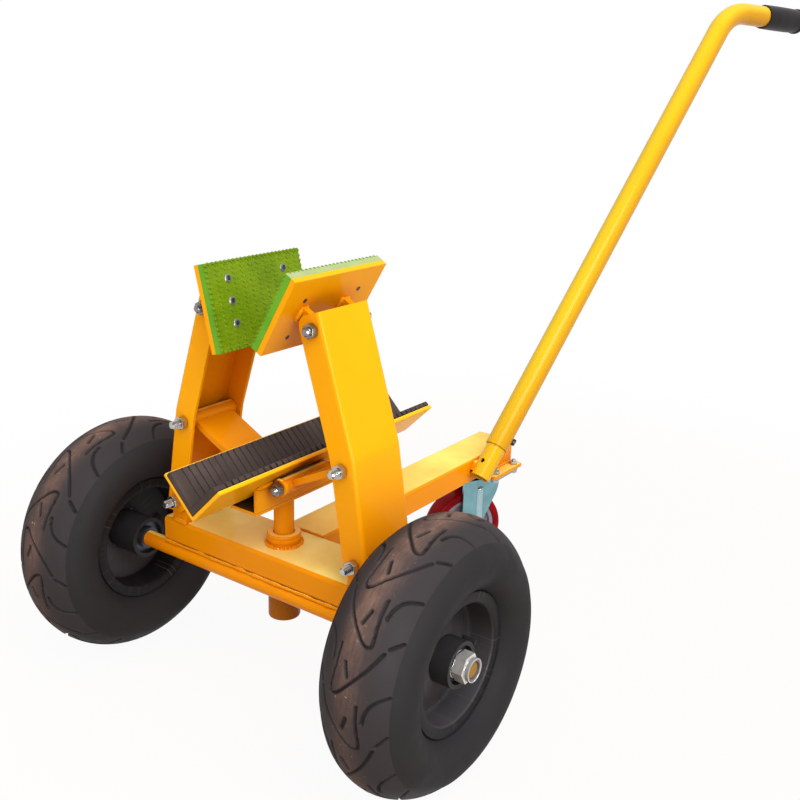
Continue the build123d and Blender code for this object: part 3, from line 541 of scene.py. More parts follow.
zinc = bare_metal("zinc_plate", (0.52, 0.51, 0.49), (0.05, 0.045, 0.04), rough=(0.14, 0.28), metal=0.95)
bm = bmesh.new()
for side in (-1, 1):
    add_pivot_bolt(bm, side * base_x, base_z, arm_front, arm_back, tail=0.014)
finished(bm, "base_bolts", zinc, "chassis", ["base_pivot_bolts"], crease=30)

# Handle: a painted tube that slips over a socket welded to the tongue's right side.
# It leans back, bends over at the top and ends in a black rubber grip; one bolt locks it.
def heading(turn, rise):
    """Way that points back, turned to the right and raised by these degrees."""
    turn, rise = math.radians(turn), math.radians(rise)
    return Vector((math.cos(rise) * math.sin(turn), math.cos(rise) * math.cos(turn), math.sin(rise)))


def add_tube_ring(bm, centre, way, radius, segments=48):
    """Round ring of edges, square to the way that a tube takes."""
    ring = bmesh.ops.create_circle(bm, segments=segments, radius=radius)["verts"]
    turn = Vector((0, 0, 1)).rotation_difference(way).to_matrix().to_4x4()
    bmesh.ops.transform(bm, matrix=Matrix.Translation(centre) @ turn, verts=ring)
    return list({edge for vert in ring for edge in vert.link_edges})


def draw_out(bm, edges, step, scale=1.0):
    """Draw a ring of edges out by a step, and return the new ring."""
    drawn = bmesh.ops.extrude_edge_only(bm, edges=edges)["geom"]
    moved = [part for part in drawn if isinstance(part, bmesh.types.BMVert)]
    middle = sum((vert.co for vert in moved), Vector()) / len(moved)
    for vert in moved:
        vert.co = middle + (vert.co - middle) * scale + step
    drawn_edges = [part for part in drawn if isinstance(part, bmesh.types.BMEdge)]
    return [edge for edge in drawn_edges if all(end in moved for end in edge.verts)]


handle_turn, handle_rise, grip_turn, grip_rise = 9.0, 49.7, 18.8, -1.9
handle_way = heading(handle_turn, handle_rise)
down_way = heading(handle_turn, handle_rise - 90)
grip_way = heading(grip_turn, grip_rise)
bend_radius, grip_gap, grip_length, inside_grip = 0.106, 0.058, 0.120, 0.110
tube_bore, tube_edge, tube_radius, tube_chamfer, tube_depth = 0.0182, 0.0202, 0.021, 0.0008, 0.05
tube_from, bend_from, lock_from = 0.064, 1.037, 0.024
socket_foot = place(0.053, 0.508, 0.212)
tube_start = socket_foot + handle_way * tube_from
bend_start = socket_foot + handle_way * bend_from
bend_turn = handle_way.angle(grip_way)
bend_out = (grip_way - handle_way * handle_way.dot(grip_way)).normalized()
bend_centre = bend_start + bend_out * bend_radius
bend_end = bend_centre + (handle_way * math.sin(bend_turn) - bend_out * math.cos(bend_turn)) * bend_radius
grip_start = bend_end + grip_way * grip_gap

bm = bmesh.new()
edges = add_tube_ring(bm, tube_start + handle_way * tube_depth, handle_way, tube_bore)
edges = draw_out(bm, edges, handle_way * -tube_depth)
edges = draw_out(bm, edges, Vector(), tube_edge / tube_bore)
edges = draw_out(bm, edges, handle_way * tube_chamfer, tube_radius / tube_edge)
lengths = 6
for _ in range(lengths):
    edges = draw_out(bm, edges, (bend_start - tube_start - handle_way * tube_chamfer) / lengths)
ring = list({vert for edge in edges for vert in edge.verts})
bent = bmesh.ops.spin(
    bm, geom=ring + edges, cent=bend_centre, axis=handle_way.cross(bend_out), angle=bend_turn, steps=28,
)["geom_last"]
edges = [part for part in bent if isinstance(part, bmesh.types.BMEdge)]
edges = draw_out(bm, edges, grip_start + grip_way * inside_grip - bend_end)
bmesh.ops.remove_doubles(bm, verts=bm.verts[:], dist=1e-6)
# The handle's undersides are darkened as painted shade. The socket's copy has a paler shade tone, so the
# painted shade low down leaves it light. The pale top tint is dust and painted sheen.
new_dust_sheen, fresh_gloss = (0.85, 0.64, 0.10), 0.3
lemon = sprayed_paint(
    "handle_paint", (0.73, 0.505, 0.009), (0.60, 0.25, 0.001), new_dust_sheen, fresh_gloss, under=0.7,
)
lifted_socket = sprayed_paint(
    "socket_paint_lifted", (0.78, 0.50, 0.008), (0.72, 0.40, 0.004), new_dust_sheen, fresh_gloss, under=0.4,
)
finished(bm, "handle", lemon, "chassis", ["handle_tube"])
dress(lifted_socket, "handle_socket")
dress(yellow, "socket_saddle")


def moulded_rubber(name, colour, paler_tone, rough=(0.4, 0.6), grain=140.0):
    """Moulded rubber: slightly grey where it is handled, darker in its grooves as painted shade, finely
    pitted.
    """
    finish, tree, shader = new_finish(name)
    cloud = ramp(tree, speckle(tree, grain / 6, 4.0), 0.42, 0.75)
    groove = ramp(tree, open_sky(tree, 0.006), 0.85, 0.35)
    wire(
        tree, shader, Specular_IOR_Level=0.12, Roughness=spread(tree, speckle(tree, grain / 3), *rough),
        Base_Color=tinted(tree, groove, tinted(tree, cloud, colour, paler_tone), [0.12 * part for part in colour]),
        Normal=relief(
            tree, (speckle(tree, grain / 4, 2.0), 0.1, 0.001), (speckle(tree, 8 * grain, 2.0), 0.12, 0.0003),
        ),
    )
    return finish


grip_rubber = moulded_rubber(
    "grip_rubber", (0.014, 0.013, 0.0142), (0.024, 0.0225, 0.024), rough=(0.30, 0.45),
)
grip_outline = [
    (0.004, 0.0211), (0.0, 0.0222), (0.0006, 0.0232), (0.003, 0.0238), (0.02, 0.0241), (0.05, 0.0244),
    (0.085, 0.0242), (0.105, 0.0237), (0.1085, 0.0231), (0.1105, 0.0232), (0.1125, 0.0246),
    (0.1145, 0.0254), (0.1172, 0.0253), (0.1188, 0.0240), (0.1196, 0.0180), (grip_length, 0.0080),
    (grip_length, 0.0),
]
bm = bmesh.new()
add_turned(bm, grip_outline, grip_start, grip_way, steps=64)
finished(bm, "grip", grip_rubber, "chassis", ["handle_grip"])

black_steel = bare_metal(
    "black_steel", (0.035, 0.035, 0.037), (0.01, 0.01, 0.01), rough=(0.3, 0.45), metal=0.6,
)
lock_outline = [
    (-0.009, 0.0), (-0.009, 0.004), (0.0, 0.004), (0.0, 0.0060), (0.0006, 0.0065), (0.0050, 0.0065),
    (0.0060, 0.0056), (0.0060, 0.0032), (0.0032, 0.0030), (0.0032, 0.0),
]
lock_way = (down_way - handle_way.cross(down_way)).normalized()
lock_seat = tube_start + handle_way * lock_from + lock_way * (tube_radius + 0.0001)
bm = bmesh.new()
add_turned(bm, lock_outline, lock_seat, lock_way, steps=24)
finished(bm, "lock_bolt", black_steel, "chassis", ["handle_lock_bolt"])

# Running wheels: two fat pneumatic trolley tyres on black dished steel rims with long hubs.
# The tread is a cut of hooks that mirror each other across the crown, dusty from the yard.
crown, shoulder, tread_edge, waist, widest = 0.1875, 0.1635, 0.052, 0.13075, 0.067
bead_s, bead_r, bead_foot = 0.0419, 0.098, 0.0865
groove_depth, seam_height, seam_half_mm, rolled_mm = 0.0040, 0.0005, 1.1, 18
crown_arc = (tread_edge ** 2 + (crown - shoulder) ** 2) / (2 * (crown - shoulder))
wheel_x = (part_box("right_tyre")[0].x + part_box("right_tyre")[1].x) / 2


def arc_through(first, middle, last, count):
    """Points on the circle through three points, both ends included."""
    (x1, y1), (x2, y2), (x3, y3) = first, middle, last
    system = np.array([[x2 - x1, y2 - y1], [x3 - x1, y3 - y1]])
    squares = [x * x + y * y for x, y in (first, middle, last)]
    cx, cy = np.linalg.solve(system, np.array([squares[1] - squares[0], squares[2] - squares[0]]) / 2)
    radius = math.hypot(x1 - cx, y1 - cy)
    angles = np.unwrap([math.atan2(y - cy, x - cx) for x, y in (first, middle, last)])
    turns = np.linspace(angles[0], angles[2], count)
    return [(cx + radius * math.cos(turn), cy + radius * math.sin(turn)) for turn in turns]


def flipped(outline):
    """The other half of an outline that is the same on both sides."""
    return [(-along, radius) for along, radius in reversed(outline)]


def rounded_line(points):
    """Line with its corners cut off twice, so that it runs in smooth bends."""
    for _ in range(2):
        cut = [points[0]]
        for (x0, y0), (x1, y1) in zip(points, points[1:]):
            cut.append((0.75 * x0 + 0.25 * x1, 0.75 * y0 + 0.25 * y1))
            cut.append((0.25 * x0 + 0.75 * x1, 0.25 * y0 + 0.75 * y1))
        points = cut + [points[-1]]
    return points


def eased(share):
    """Smooth step for a share between 0 and 1."""
    return share * share * (3 - 2 * share)


def tread_cut(turn, across):
    """How far the tread is cut away at each point, from 0 to 1; degrees round and mm across."""
    repeat, overlap, mm_per_degree, groove_edge = 40, 33, 3.2, 1.4
    cut = np.zeros_like(turn)
    for mirrored, phase in ((1, 20.7), (-1, 0.5)):
        local = ((turn - phase + overlap) % repeat - overlap) * mm_per_degree
        side = across * mirrored
        for half_width, line in hooks:
            smooth = rounded_line(line)
            for (a0, s0), (a1, s1) in zip(smooth, smooth[1:]):
                dx, dy = mm_per_degree * (a1 - a0), s1 - s0
                from_x, from_y = local - mm_per_degree * a0, side - s0
                share = np.clip((from_x * dx + from_y * dy) / (dx * dx + dy * dy), 0, 1)
                gap = np.hypot(from_x - share * dx, from_y - share * dy)
                cut = np.maximum(cut, np.clip((half_width - gap) / groove_edge, 0, 1))
    return eased(cut)


def shape_tyre(mesh, side, twist):
    """Cut the tread into a plain tyre, note where it is tread and crown, and put it on the axle."""
    spots = np.empty(3 * len(mesh.vertices))
    mesh.vertices.foreach_get("co", spots)
    spots = spots.reshape(-1, 3)
    reach = np.hypot(spots[:, 1], spots[:, 2])
    turn = np.degrees(np.arctan2(-spots[:, 1], spots[:, 2]))
    on_tread = (reach > shoulder - 0.0005) & (np.abs(spots[:, 0]) < tread_edge + 0.0003)
    slope = np.clip(spots[:, 0] / crown_arc, -1, 1)
    across = 1000 * crown_arc * np.arcsin(slope)
    cut = np.where(on_tread, tread_cut(side * turn - side * twist, side * across), 0)
    seam = np.where(on_tread, np.clip(1 - np.abs(across) / seam_half_mm, 0, 1), 0)
    height = seam_height * seam * (1 - cut) - groove_depth * cut
    radial = np.stack([np.zeros(len(spots)), spots[:, 1] / reach, spots[:, 2] / reach], 1)
    way = radial * np.sqrt(1 - slope ** 2)[:, None]
    way[:, 0] = slope
    spots = spots + way * height[:, None] + np.array([side * wheel_x, axle_y, axle_z])
    mesh.vertices.foreach_set("co", spots.ravel())
    layers = {"tread": np.where(on_tread, 1 - cut, 0.0)}
    layers["rolled"] = layers["tread"] * np.exp(-(across / rolled_mm) ** 2)
    for layer, values in layers.items():
        mesh.attributes.new(layer, "FLOAT", "POINT").data.foreach_set("value", values)


def round_axle(tree):
    """Place from the axle's middle, and the bearing round the axle."""
    where = add_node(tree, "TexCoord").outputs["Object"]
    centred = add_node(tree, "Mapping", Vector=where, Location=(0, -axle_y, -axle_z)).outputs["Vector"]
    parts = add_node(tree, "SeparateXYZ", Vector=centred).outputs
    return parts, calculated(tree, "ARCTAN2", parts["Y"], parts["Z"])


def tyre_finish():
    """Black rubber, darker in the tread's grooves as painted shade, with brown dust where the crown rolls, in
    blotches and streaks, and pale grit.
    """
    finish, tree, shader = new_finish("tyre_rubber")
    tread = add_node(tree, "Attribute", {"attribute_name": "tread"}).outputs["Fac"]
    rolled = add_node(tree, "Attribute", {"attribute_name": "rolled"}).outputs["Fac"]
    parts, bearing = round_axle(tree)
    streak = add_node(tree, "CombineXYZ", X=times(tree, parts["X"], 260.0), Y=times(tree, bearing, 6.0))
    scuffs = ramp(tree, speckle(tree, 1.0, 5.0, 0.65, streak.outputs["Vector"]), 0.34, 0.64)
    blotch = ramp(tree, speckle(tree, 16.0, 5.0, 0.65), 0.3, 0.72)
    settled = spread(tree, ramp(tree, parts["Z"], -0.08, 0.13), 0.32, 1.0)
    patches = times(tree, spread(tree, blotch, 0.35, 1.0), spread(tree, scuffs, 0.6, 1.0))
    grit = times(tree, ramp(tree, speckle(tree, 260.0, 2.0), 0.68, 0.74), rolled)
    # The tread's face takes the paler rubber. Its cut grooves and the sidewalls take the darker one, which is
    # painted shade in the grooves.
    colour = tinted(tree, tread, (0.0245, 0.0235, 0.0262), (0.037, 0.033, 0.0375))
    colour = tinted(tree, times(tree, times(tree, rolled, settled), patches), colour, (0.23, 0.138, 0.107))
    colour = tinted(tree, times(tree, grit, 0.7), colour, (0.42, 0.32, 0.27))
    wire(
        tree, shader, Base_Color=colour, Roughness=spread(tree, blotch, 0.55, 0.75), Specular_IOR_Level=0.07,
        Normal=relief(tree, (speckle(tree, 45.0), 0.08, 0.002), (speckle(tree, 500.0, 2.0), 0.12, 0.0004)),
    )
    return finish


# Grooves as half widths in mm and lines of (degrees round, mm across).
long_hook = [
    (-18, 19), (-10.6, 19), (-5, 21), (-1, 22.5), (0.3, 18), (0, 12), (-1.5, 6), (-3.4, 0),
    (-7.5, -12.5), (-13, -27), (-19.5, -38.5),
]
hooks = [
    (2.6, long_hook), (2.6, [(-21.7, -43), (-25.5, -57)]), (3.3, [(-7.5, 0), (-12.2, 5.5)]),
    (2.6, [(-11.7, 27), (-16, 29), (-20.5, 38), (-23.5, 57)]),
]
wall_side = arc_through((bead_s, bead_r), (widest, waist), (tread_edge, shoulder), 10)
(near_s, near_r), (edge_s, edge_r) = wall_side[-2:]
wall_side.insert(-1, (edge_s + 0.1 * (near_s - edge_s), edge_r + 0.1 * (near_r - edge_r)))
tread_line = arc_through((tread_edge, shoulder), (0, crown), (-tread_edge, shoulder), 86)
bead = (bead_s, bead_foot)
tyre_outline = [bead] + wall_side[:-1] + tread_line + flipped(wall_side)[1:] + [(-bead_s, bead_foot), bead]
bm = bmesh.new()
add_turned(bm, tyre_outline, (0, 0, 0), (1, 0, 0), steps=900)
bmesh.ops.recalc_face_normals(bm, faces=bm.faces[:])
plain_tyre = made_mesh(bm, "plain_tyre")
tyre_rubber = tyre_finish()
for name, side, twist in (("right", 1, 0.0), ("left", -1, 11.5)):
    mesh = plain_tyre.copy()
    shape_tyre(mesh, side, twist)
    mesh.materials.append(tyre_rubber)
    mesh.shade_smooth()
    mesh.set_sharp_from_angle(angle=math.radians(55))
    tyre = show(name + "_tyre_piece", mesh)
    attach(tyre, name + "_wheel")
    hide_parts(name + "_tyre")
bpy.data.meshes.remove(plain_tyre)

# Rims: pressed steel, deep-dished on both sides and sprayed gloss black, with the hub welded in.
# Pale streaks, painted reflections, run out from the hub, and a thin rolled lip holds the tyre's bead.
def rim_finish():
    """Black gloss with pale streaks out from the hub as painted reflection, the outer dish painted paler low
    down as painted light in its shade, the inner side darker.
    """
    finish, tree, shader = new_finish("rim_black")
    parts, bearing = round_axle(tree)
    spoke = add_node(tree, "CombineXYZ", X=times(tree, bearing, 9.0)).outputs["Vector"]
    marks = ramp(tree, speckle(tree, 2.4, 5.0, 0.7, spoke), 0.54, 0.66)
    # Pale streaks out from the hub: painted reflections.
    streaks = times(tree, marks, ramp(tree, speckle(tree, 30.0), 0.42, 0.58))
    out = add_node(tree, "CombineXYZ", Y=parts["Y"], Z=parts["Z"]).outputs["Vector"]
    from_hub = calculated(tree, "LENGTH", out, kind="VectorMath")
    # The outer dish is painted paler towards its bottom: painted light that lifts the shade there.
    paler_tone = tinted(tree, ramp(tree, parts["Z"], 0.05, -0.03), (0.032, 0.030, 0.0335), (0.058, 0.054, 0.060))
    outside = ramp(tree, calculated(tree, "ABSOLUTE", parts["X"]), wheel_x - 0.004, wheel_x + 0.004)
    sides = tinted(tree, outside, (0.014, 0.013, 0.0138), paler_tone)
    dish = tinted(tree, ramp(tree, from_hub, 0.0815, 0.084), sides, (0.0135, 0.0130, 0.0143))
    wire(
        tree, shader, Base_Color=tinted(tree, times(tree, streaks, 0.7), dish, (0.16, 0.155, 0.16)),
        Roughness=spread(tree, speckle(tree, 40.0), 0.32, 0.46), Specular_IOR_Level=0.06, Coat_Weight=0.03,
        Normal=relief(tree, (speckle(tree, 30.0, 2.0), 0.1, 0.001), (speckle(tree, 300.0), 0.05, 0.0004)),
    )
    return finish


rim_lip = [
    (0.0422, 0.0852), (0.0422, 0.0962), (0.0430, 0.0976), (0.0441, 0.0980), (0.0453, 0.0976),
    (0.0459, 0.0964), (0.0459, 0.0880), (0.0452, 0.0842), (0.0434, 0.0818), (0.0408, 0.0811),
    (0.0250, 0.0808),
]
rim_dish = [
    (0.0110, 0.0804), (0.0072, 0.0792), (0.0056, 0.0768), (0.0070, 0.0680), (0.0105, 0.0590),
    (0.0124, 0.0520), (0.0150, 0.0400), (0.0178, 0.0322), (0.0140, 0.0322), (0.0110, 0.0400),
    (0.0068, 0.0580), (0.0000, 0.0790), (-0.0040, 0.0804),
]
rim_outline = rim_lip + rim_dish + flipped(rim_lip) + rim_lip[:1]
rim_black = rim_finish()
hub_black = moulded_rubber(
    "hub_black", (0.024, 0.0225, 0.0245), (0.034, 0.032, 0.0345), rough=(0.4, 0.55), grain=90.0,
)
bearing_steel = bare_metal(
    "bearing_steel", (0.06, 0.066, 0.085), (0.015, 0.015, 0.018), rough=(0.3, 0.45), metal=0.7,
)
valve_rubber = moulded_rubber("valve_rubber", (0.02, 0.02, 0.02), (0.04, 0.04, 0.04))
for name, side in (("right", 1), ("left", -1)):
    bm = bmesh.new()
    add_turned(bm, rim_outline, (side * wheel_x, axle_y, axle_z), (side, 0, 0), steps=96)
    finished(bm, name + "_rim_piece", rim_black, name + "_wheel", [name + "_rim"], crease=50)
    dress(hub_black, name + "_hub")
    dress(bearing_steel, name + "_bearings")
    dress(valve_rubber, name + "_valve")

# Wheel nuts: a thick washer and a tall zinc lock nut on each end of the axle.
# The nut's rounded crown grips a nylon ring, and the painted axle end shows inside it.
def ring_outline(length, bore, radius, chamfer):
    """Outline of a washer or a sleeve with chamfered rims."""
    return [
        (0.0, bore), (0.0, radius - chamfer), (chamfer, radius), (length - chamfer, radius),
        (length, radius - chamfer), (length, bore), (0.0, bore),
    ]


def nylon_finish():
    """Dark nylon that lets a little light in."""
    finish, tree, shader = new_finish("nylon")
    cloud = ramp(tree, speckle(tree, 120.0), 0.3, 0.8)
    wire(
        tree, shader, Base_Color=tinted(tree, cloud, (0.15, 0.15, 0.18), (0.10, 0.10, 0.12)),
        Roughness=spread(tree, speckle(tree, 200.0), 0.35, 0.55), Subsurface_Weight=0.15,
    )
    return finish


washer_outline = ring_outline(washer_thick, bore=0.0121, radius=0.0200, chamfer=0.0006)
nut_flats, nut_height = 0.036, 0.0175
nut_crown = [
    (0.0150, 0.0150), (0.0166, 0.0160), (0.0188, 0.0160), (0.0194, 0.0164), (0.0222, 0.0164),
    (0.0236, 0.0161), (0.0240, 0.0156), (0.0238, 0.0150), (0.0230, 0.0146), (0.0175, 0.0145), (0.0174, 0.0),
]
bm = bmesh.new()
for side in (-1, 1):
    add_turned(bm, washer_outline, (side * washer_seat, axle_y, axle_z), (side, 0, 0), steps=48)
finished(bm, "wheel_washers", zinc, "chassis", ["axle_washers"])
bm = bmesh.new()
for side in (-1, 1):
    nut_foot = Vector((side * (washer_seat + washer_thick), axle_y, axle_z))
    add_hex(bm, nut_foot, nut_foot + Vector((side * nut_height, 0, 0)), nut_flats)
    add_turned(bm, nut_crown, nut_foot, (side, 0, 0), steps=48)
bright_zinc = bare_metal(
    "bright_zinc", (0.74, 0.73, 0.71), (0.12, 0.11, 0.10), rough=(0.14, 0.28), metal=0.6,
)
finished(bm, "wheel_nuts", bright_zinc, "chassis", ["axle_nuts"], crease=30)
dress(nylon_finish(), "axle_nut_inserts")
dress(bearing_steel, "axle_collars")

# Caster plates: a yellow plate welded under the tongue, and the caster's own zinc plate below it.
# Four small bolts with their nuts on top clamp the two together.
plate_low, plate_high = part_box("caster_mount_plate")
top_low, top_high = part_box("caster_top_plate")
caster_y = (plate_low.y + plate_high.y) / 2
bolt_low, bolt_x, bolt_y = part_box("caster_plate_bolts")[0].z, 0.048, 0.033
bolt_flats, bolt_radius, bolt_tail, bolt_nut, bolt_length = 0.013, 0.004, 0.004, 0.0065, 0.024
bm = bmesh.new()
round_along(bm, add_box(bm, plate_low, plate_high), axis=2, radius=0.006)
finished(bm, "mount_plate", yellow, "chassis", ["caster_mount_plate"], soft=0.0009)
fork_zinc = bare_metal(
    "fork_zinc", (0.21, 0.41, 0.45), (0.03, 0.06, 0.07), rough=(0.16, 0.30), metal=0.95, grain=40.0,
)
bm = bmesh.new()
round_along(bm, add_box(bm, top_low, top_high), axis=2, radius=0.009)
finished(bm, "top_plate", fork_zinc, "chassis", ["caster_top_plate"], soft=0.0012)
bolt_outline = thread_outline(bolt_tail, bolt_radius, 0.00125)
bolt_outline += [(bolt_tail, bolt_radius), (bolt_length, bolt_radius)]
bm = bmesh.new()
for x in (-bolt_x, bolt_x):
    for y in (caster_y - bolt_y, caster_y + bolt_y):
        nut_top = plate_high.z + bolt_nut
        add_hex(bm, (x, y, bolt_low), (x, y, top_low.z), bolt_flats)
        add_hex(bm, (x, y, plate_high.z), (x, y, nut_top), bolt_flats)
        add_turned(bm, bolt_outline, (x, y, nut_top + bolt_tail), (0, 0, -1), steps=20)
finished(bm, "plate_bolts", zinc, "chassis", ["caster_plate_bolts"], crease=30)
bm = bmesh.new()
for y, seed in ((plate_low.y + 0.003, 20.0), (plate_high.y - 0.003, 21.0)):
    ends = [(x, y, plate_high.z + 0.001) for x in (tongue_low.x, tongue_high.x)]
    add_weld(bm, *ends, radius=0.0018, seed=seed)
for x, seed in ((tongue_low.x, 22.0), (tongue_high.x, 23.0)):
    ends = [(x, y, plate_high.z) for y in (plate_low.y + 0.004, plate_high.y - 0.004)]
    add_weld(bm, *ends, radius=0.0026, seed=seed)
finished(bm, "plate_welds", yellow, "chassis", crease=70)
dress(bearing_steel, "caster_kingpin")

# Caster: a pressed zinc fork that swivels on a ball race, with a red wheel trailing in it.
# The wheel is a grey core with a band of red polyurethane cast on.
swivel = Matrix.Translation((0, caster_y, 0)) @ Matrix.Rotation(math.radians(-27.5), 4, "Z")
bridge_low, bridge_high, leading, trailing = 0.1715, 0.1765, 0.022, -0.055
cheek_x, cheek_thick, cheek_foot, cheek_round = 0.022, 0.005, 0.060, 0.014
notch_y, notch_z, notch_round = -0.025, 0.1565, 0.012
rib_x, rib_y, rib_low, rib_high, rib_radius = 0.0238, -0.0185, 0.078, 0.156, 0.0082
on_ribs = set()
bm = bmesh.new()
for side in (-1, 1):
    x = side * cheek_x
    add_plate(bm, [
        (x, trailing, cheek_foot), (x, trailing, bridge_high), (x, leading, bridge_high),
        (x, leading, notch_z), (x, notch_y, cheek_foot),
    ], (side * cheek_thick, 0, 0), [(0, cheek_round), (3, notch_round), (4, cheek_round)])
    rib = [Vector((side * rib_x, rib_y, z)) for z in (rib_low, rib_high)]
    half = (rib[1] - rib[0]).length / 2
    pressed = bmesh.new()
    bmesh.ops.create_uvsphere(pressed, u_segments=20, v_segments=8, radius=rib_radius)
    for vert in pressed.verts:
        vert.co.z += half if vert.co.z > 0.0001 else -half
    lay_along(pressed, *rib)
    for vert in pressed.verts:
        vert.co.x = side * max(side * vert.co.x, cheek_x + 0.0005)
    first_face = len(bm.faces)
    join(bm, pressed)
    on_ribs.update(range(first_face, len(bm.faces)))
add_box(bm, (-cheek_x - 0.0002, trailing, bridge_low), (cheek_x + 0.0002, leading, bridge_high))
fork = finished(
    bm, "fork", fork_zinc, "caster_swivel", ["caster_fork"], soft=0.0014, put=swivel,
)
# The pressed ribs take a paler zinc, a painted highlight along them.
rib_highlight_zinc = bare_metal(
    "rib_highlight_zinc", (0.40, 0.56, 0.61), (0.03, 0.06, 0.07), rough=(0.16, 0.30), metal=0.95, grain=40.0,
)
part_finish(fork, rib_highlight_zinc, lambda face: face.index in on_ribs)
race_outline = [
    (0.0, 0.0082), (0.0, 0.0320), (0.0010, 0.0345), (0.0030, 0.0358), (0.0044, 0.0360), (0.0050, 0.0346),
    (0.0056, 0.0346), (0.0062, 0.0360), (0.0080, 0.0352), (0.0094, 0.0330), (0.0100, 0.0300),
    (0.0100, 0.0082), (0.0, 0.0082),
]
bm = bmesh.new()
add_turned(bm, race_outline, (0, caster_y, bridge_high), (0, 0, 1), steps=56)
finished(bm, "race", fork_zinc, "caster_swivel", ["caster_race"])
hub_at, across = Vector((0, -0.040, 0.075)), Vector((1, 0, 0))
hub_tail, hub_shank, hub_flats, hub_head, hub_nut = 0.004, 0.006, 0.018, 0.008, 0.010
outside, hub_bolt_tip, hub_bolt_length = cheek_x + cheek_thick, 0.040, 0.070
bolt_outline = thread_outline(hub_tail, hub_shank, 0.00175)
bolt_outline += [(hub_tail, hub_shank), (hub_bolt_length, hub_shank), (hub_bolt_length, 0.0)]
bm = bmesh.new()
add_hex(bm, hub_at - across * (outside + hub_head), hub_at - across * outside, hub_flats)
add_hex(bm, hub_at + across * outside, hub_at + across * (outside + hub_nut), hub_flats)
add_turned(bm, bolt_outline, hub_at + across * hub_bolt_tip, -across, steps=24)
finished(
    bm, "caster_bolt", zinc, "caster_swivel", ["caster_axle_bolt"], crease=30, put=swivel,
)


def red_finish():
    """Red cast polyurethane, clouded and fairly glossy."""
    finish, tree, shader = new_finish("red_polyurethane")
    cloud = speckle(tree, 30.0, 4.0)
    wire(
        tree, shader, Roughness=spread(tree, cloud, 0.16, 0.34), Specular_IOR_Level=0.03, Coat_Weight=0.05,
        Base_Color=tinted(tree, ramp(tree, cloud, 0.35, 0.75), (0.27, 0.003, 0.006), (0.18, 0.002, 0.005)),
        Normal=relief(tree, (speckle(tree, 60.0), 0.06, 0.001)),
    )
    return finish


def grey_finish():
    """Grey moulded core, duller than the band on it."""
    finish, tree, shader = new_finish("grey_core")
    cloud = speckle(tree, 50.0)
    wire(
        tree, shader, Roughness=spread(tree, cloud, 0.35, 0.55),
        Base_Color=tinted(tree, ramp(tree, cloud, 0.3, 0.75), (0.24, 0.22, 0.29), (0.17, 0.16, 0.21)),
        Normal=relief(tree, (speckle(tree, 200.0), 0.08, 0.0005)),
    )
    return finish


half_band = [(-0.0185, 0.0602), (-0.0190, 0.0625), (-0.0190, 0.0690), (-0.0172, 0.0732), (-0.0130, 0.0746)]
half_core = [
    (-0.0170, 0.0142), (-0.0170, 0.0212), (-0.0160, 0.0220), (-0.0080, 0.0230), (-0.0070, 0.0250),
    (-0.0070, 0.0500), (-0.0085, 0.0520), (-0.0165, 0.0524), (-0.0172, 0.0535), (-0.0172, 0.0592),
    (-0.0160, 0.0600),
]
bm = bmesh.new()
add_turned(bm, half_band + [(0.0, 0.0750)] + flipped(half_band) + half_band[:1], hub_at, across, steps=96)
finished(
    bm, "caster_band", red_finish(), "caster_wheel", ["caster_tread"],
    crease=60, put=swivel,
)
bm = bmesh.new()
add_turned(bm, half_core + flipped(half_core) + half_core[:1], hub_at, across, steps=96)
finished(
    bm, "caster_disc", grey_finish(), "caster_wheel", ["caster_core"],
    crease=45, put=swivel,
)
dress(bearing_steel, "caster_bearings")

# Cradle: a round post in the guide tube carries a short channel, and the trough is welded on that.
# Its ears hold the links' inner bolts; all of it moves down together under the slab's weight.
post_low, post_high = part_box("cradle_post")
post_length, post_radius, post_chamfer = post_high.z - post_low.z, 0.0150, 0.0012
bm = bmesh.new()
add_turned(bm, [
    (0.0, 0.0), (0.0, post_radius - post_chamfer), (post_chamfer, post_radius),
    (post_length, post_radius), (post_length, 0.0),
], (guide_x, guide_y, post_low.z), (0, 0, 1), steps=48)
add_ring_weld(bm, (guide_x, guide_y, post_high.z), post_radius + 0.0005, radius=0.0026, seed=12.0)
finished(bm, "post", yellow, "cradle", ["cradle_post"])
dress(bearing_steel, "post_ring")

channel_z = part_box("cradle_channel")[0].z
trough_low, trough_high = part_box("trough")
v_bottom = trough_low.z
channel_front, channel_back = place(0, -0.040, 0).y, place(0, 0.243, 0).y
channel_half, channel_sheet, wall_foot, overlap = 0.025, 0.005, channel_z + 0.004, 0.0002
inner_x, inner_z = 0.040, channel_z + 0.037
ear_foot, ear_half, ear_gap, ear_thick, ear_round = 0.0245, 0.012, 0.047, 0.006, 0.01199
ear_slope, ear_seam = 0.010, 0.0515
ear_low, ear_high, ear_notch = inner_z - ear_half, inner_z + ear_half, inner_z + 0.003
bm = bmesh.new()
add_box(
    bm, (-channel_half, channel_front, channel_z), (channel_half, channel_back, channel_z + channel_sheet),
)
for side in (-1, 1):
    outer, inner = side * channel_half, side * (channel_half - channel_sheet)
    add_plate(bm, [
        (outer, channel_front, wall_foot), (outer, channel_front, v_bottom + channel_half + overlap),
        (inner, channel_front, v_bottom + channel_half - channel_sheet + overlap),
        (inner, channel_front, wall_foot),
    ], (0, channel_back - channel_front, 0))
    foot, tip = side * ear_foot, side * (inner_x + ear_half)
    for y in (arm_middle - ear_gap - ear_thick, arm_middle + ear_gap):
        add_plate(bm, [
            (foot, y, ear_low), (tip, y, ear_low), (tip, y, ear_high),
            (foot + side * ear_slope, y, ear_high), (foot, y, ear_notch),
        ], (0, ear_thick, 0), [(1, ear_round), (2, ear_round)], segments=12)
channel = finished(bm, "channel", yellow, "cradle", ["cradle_channel"], soft=0.0012)


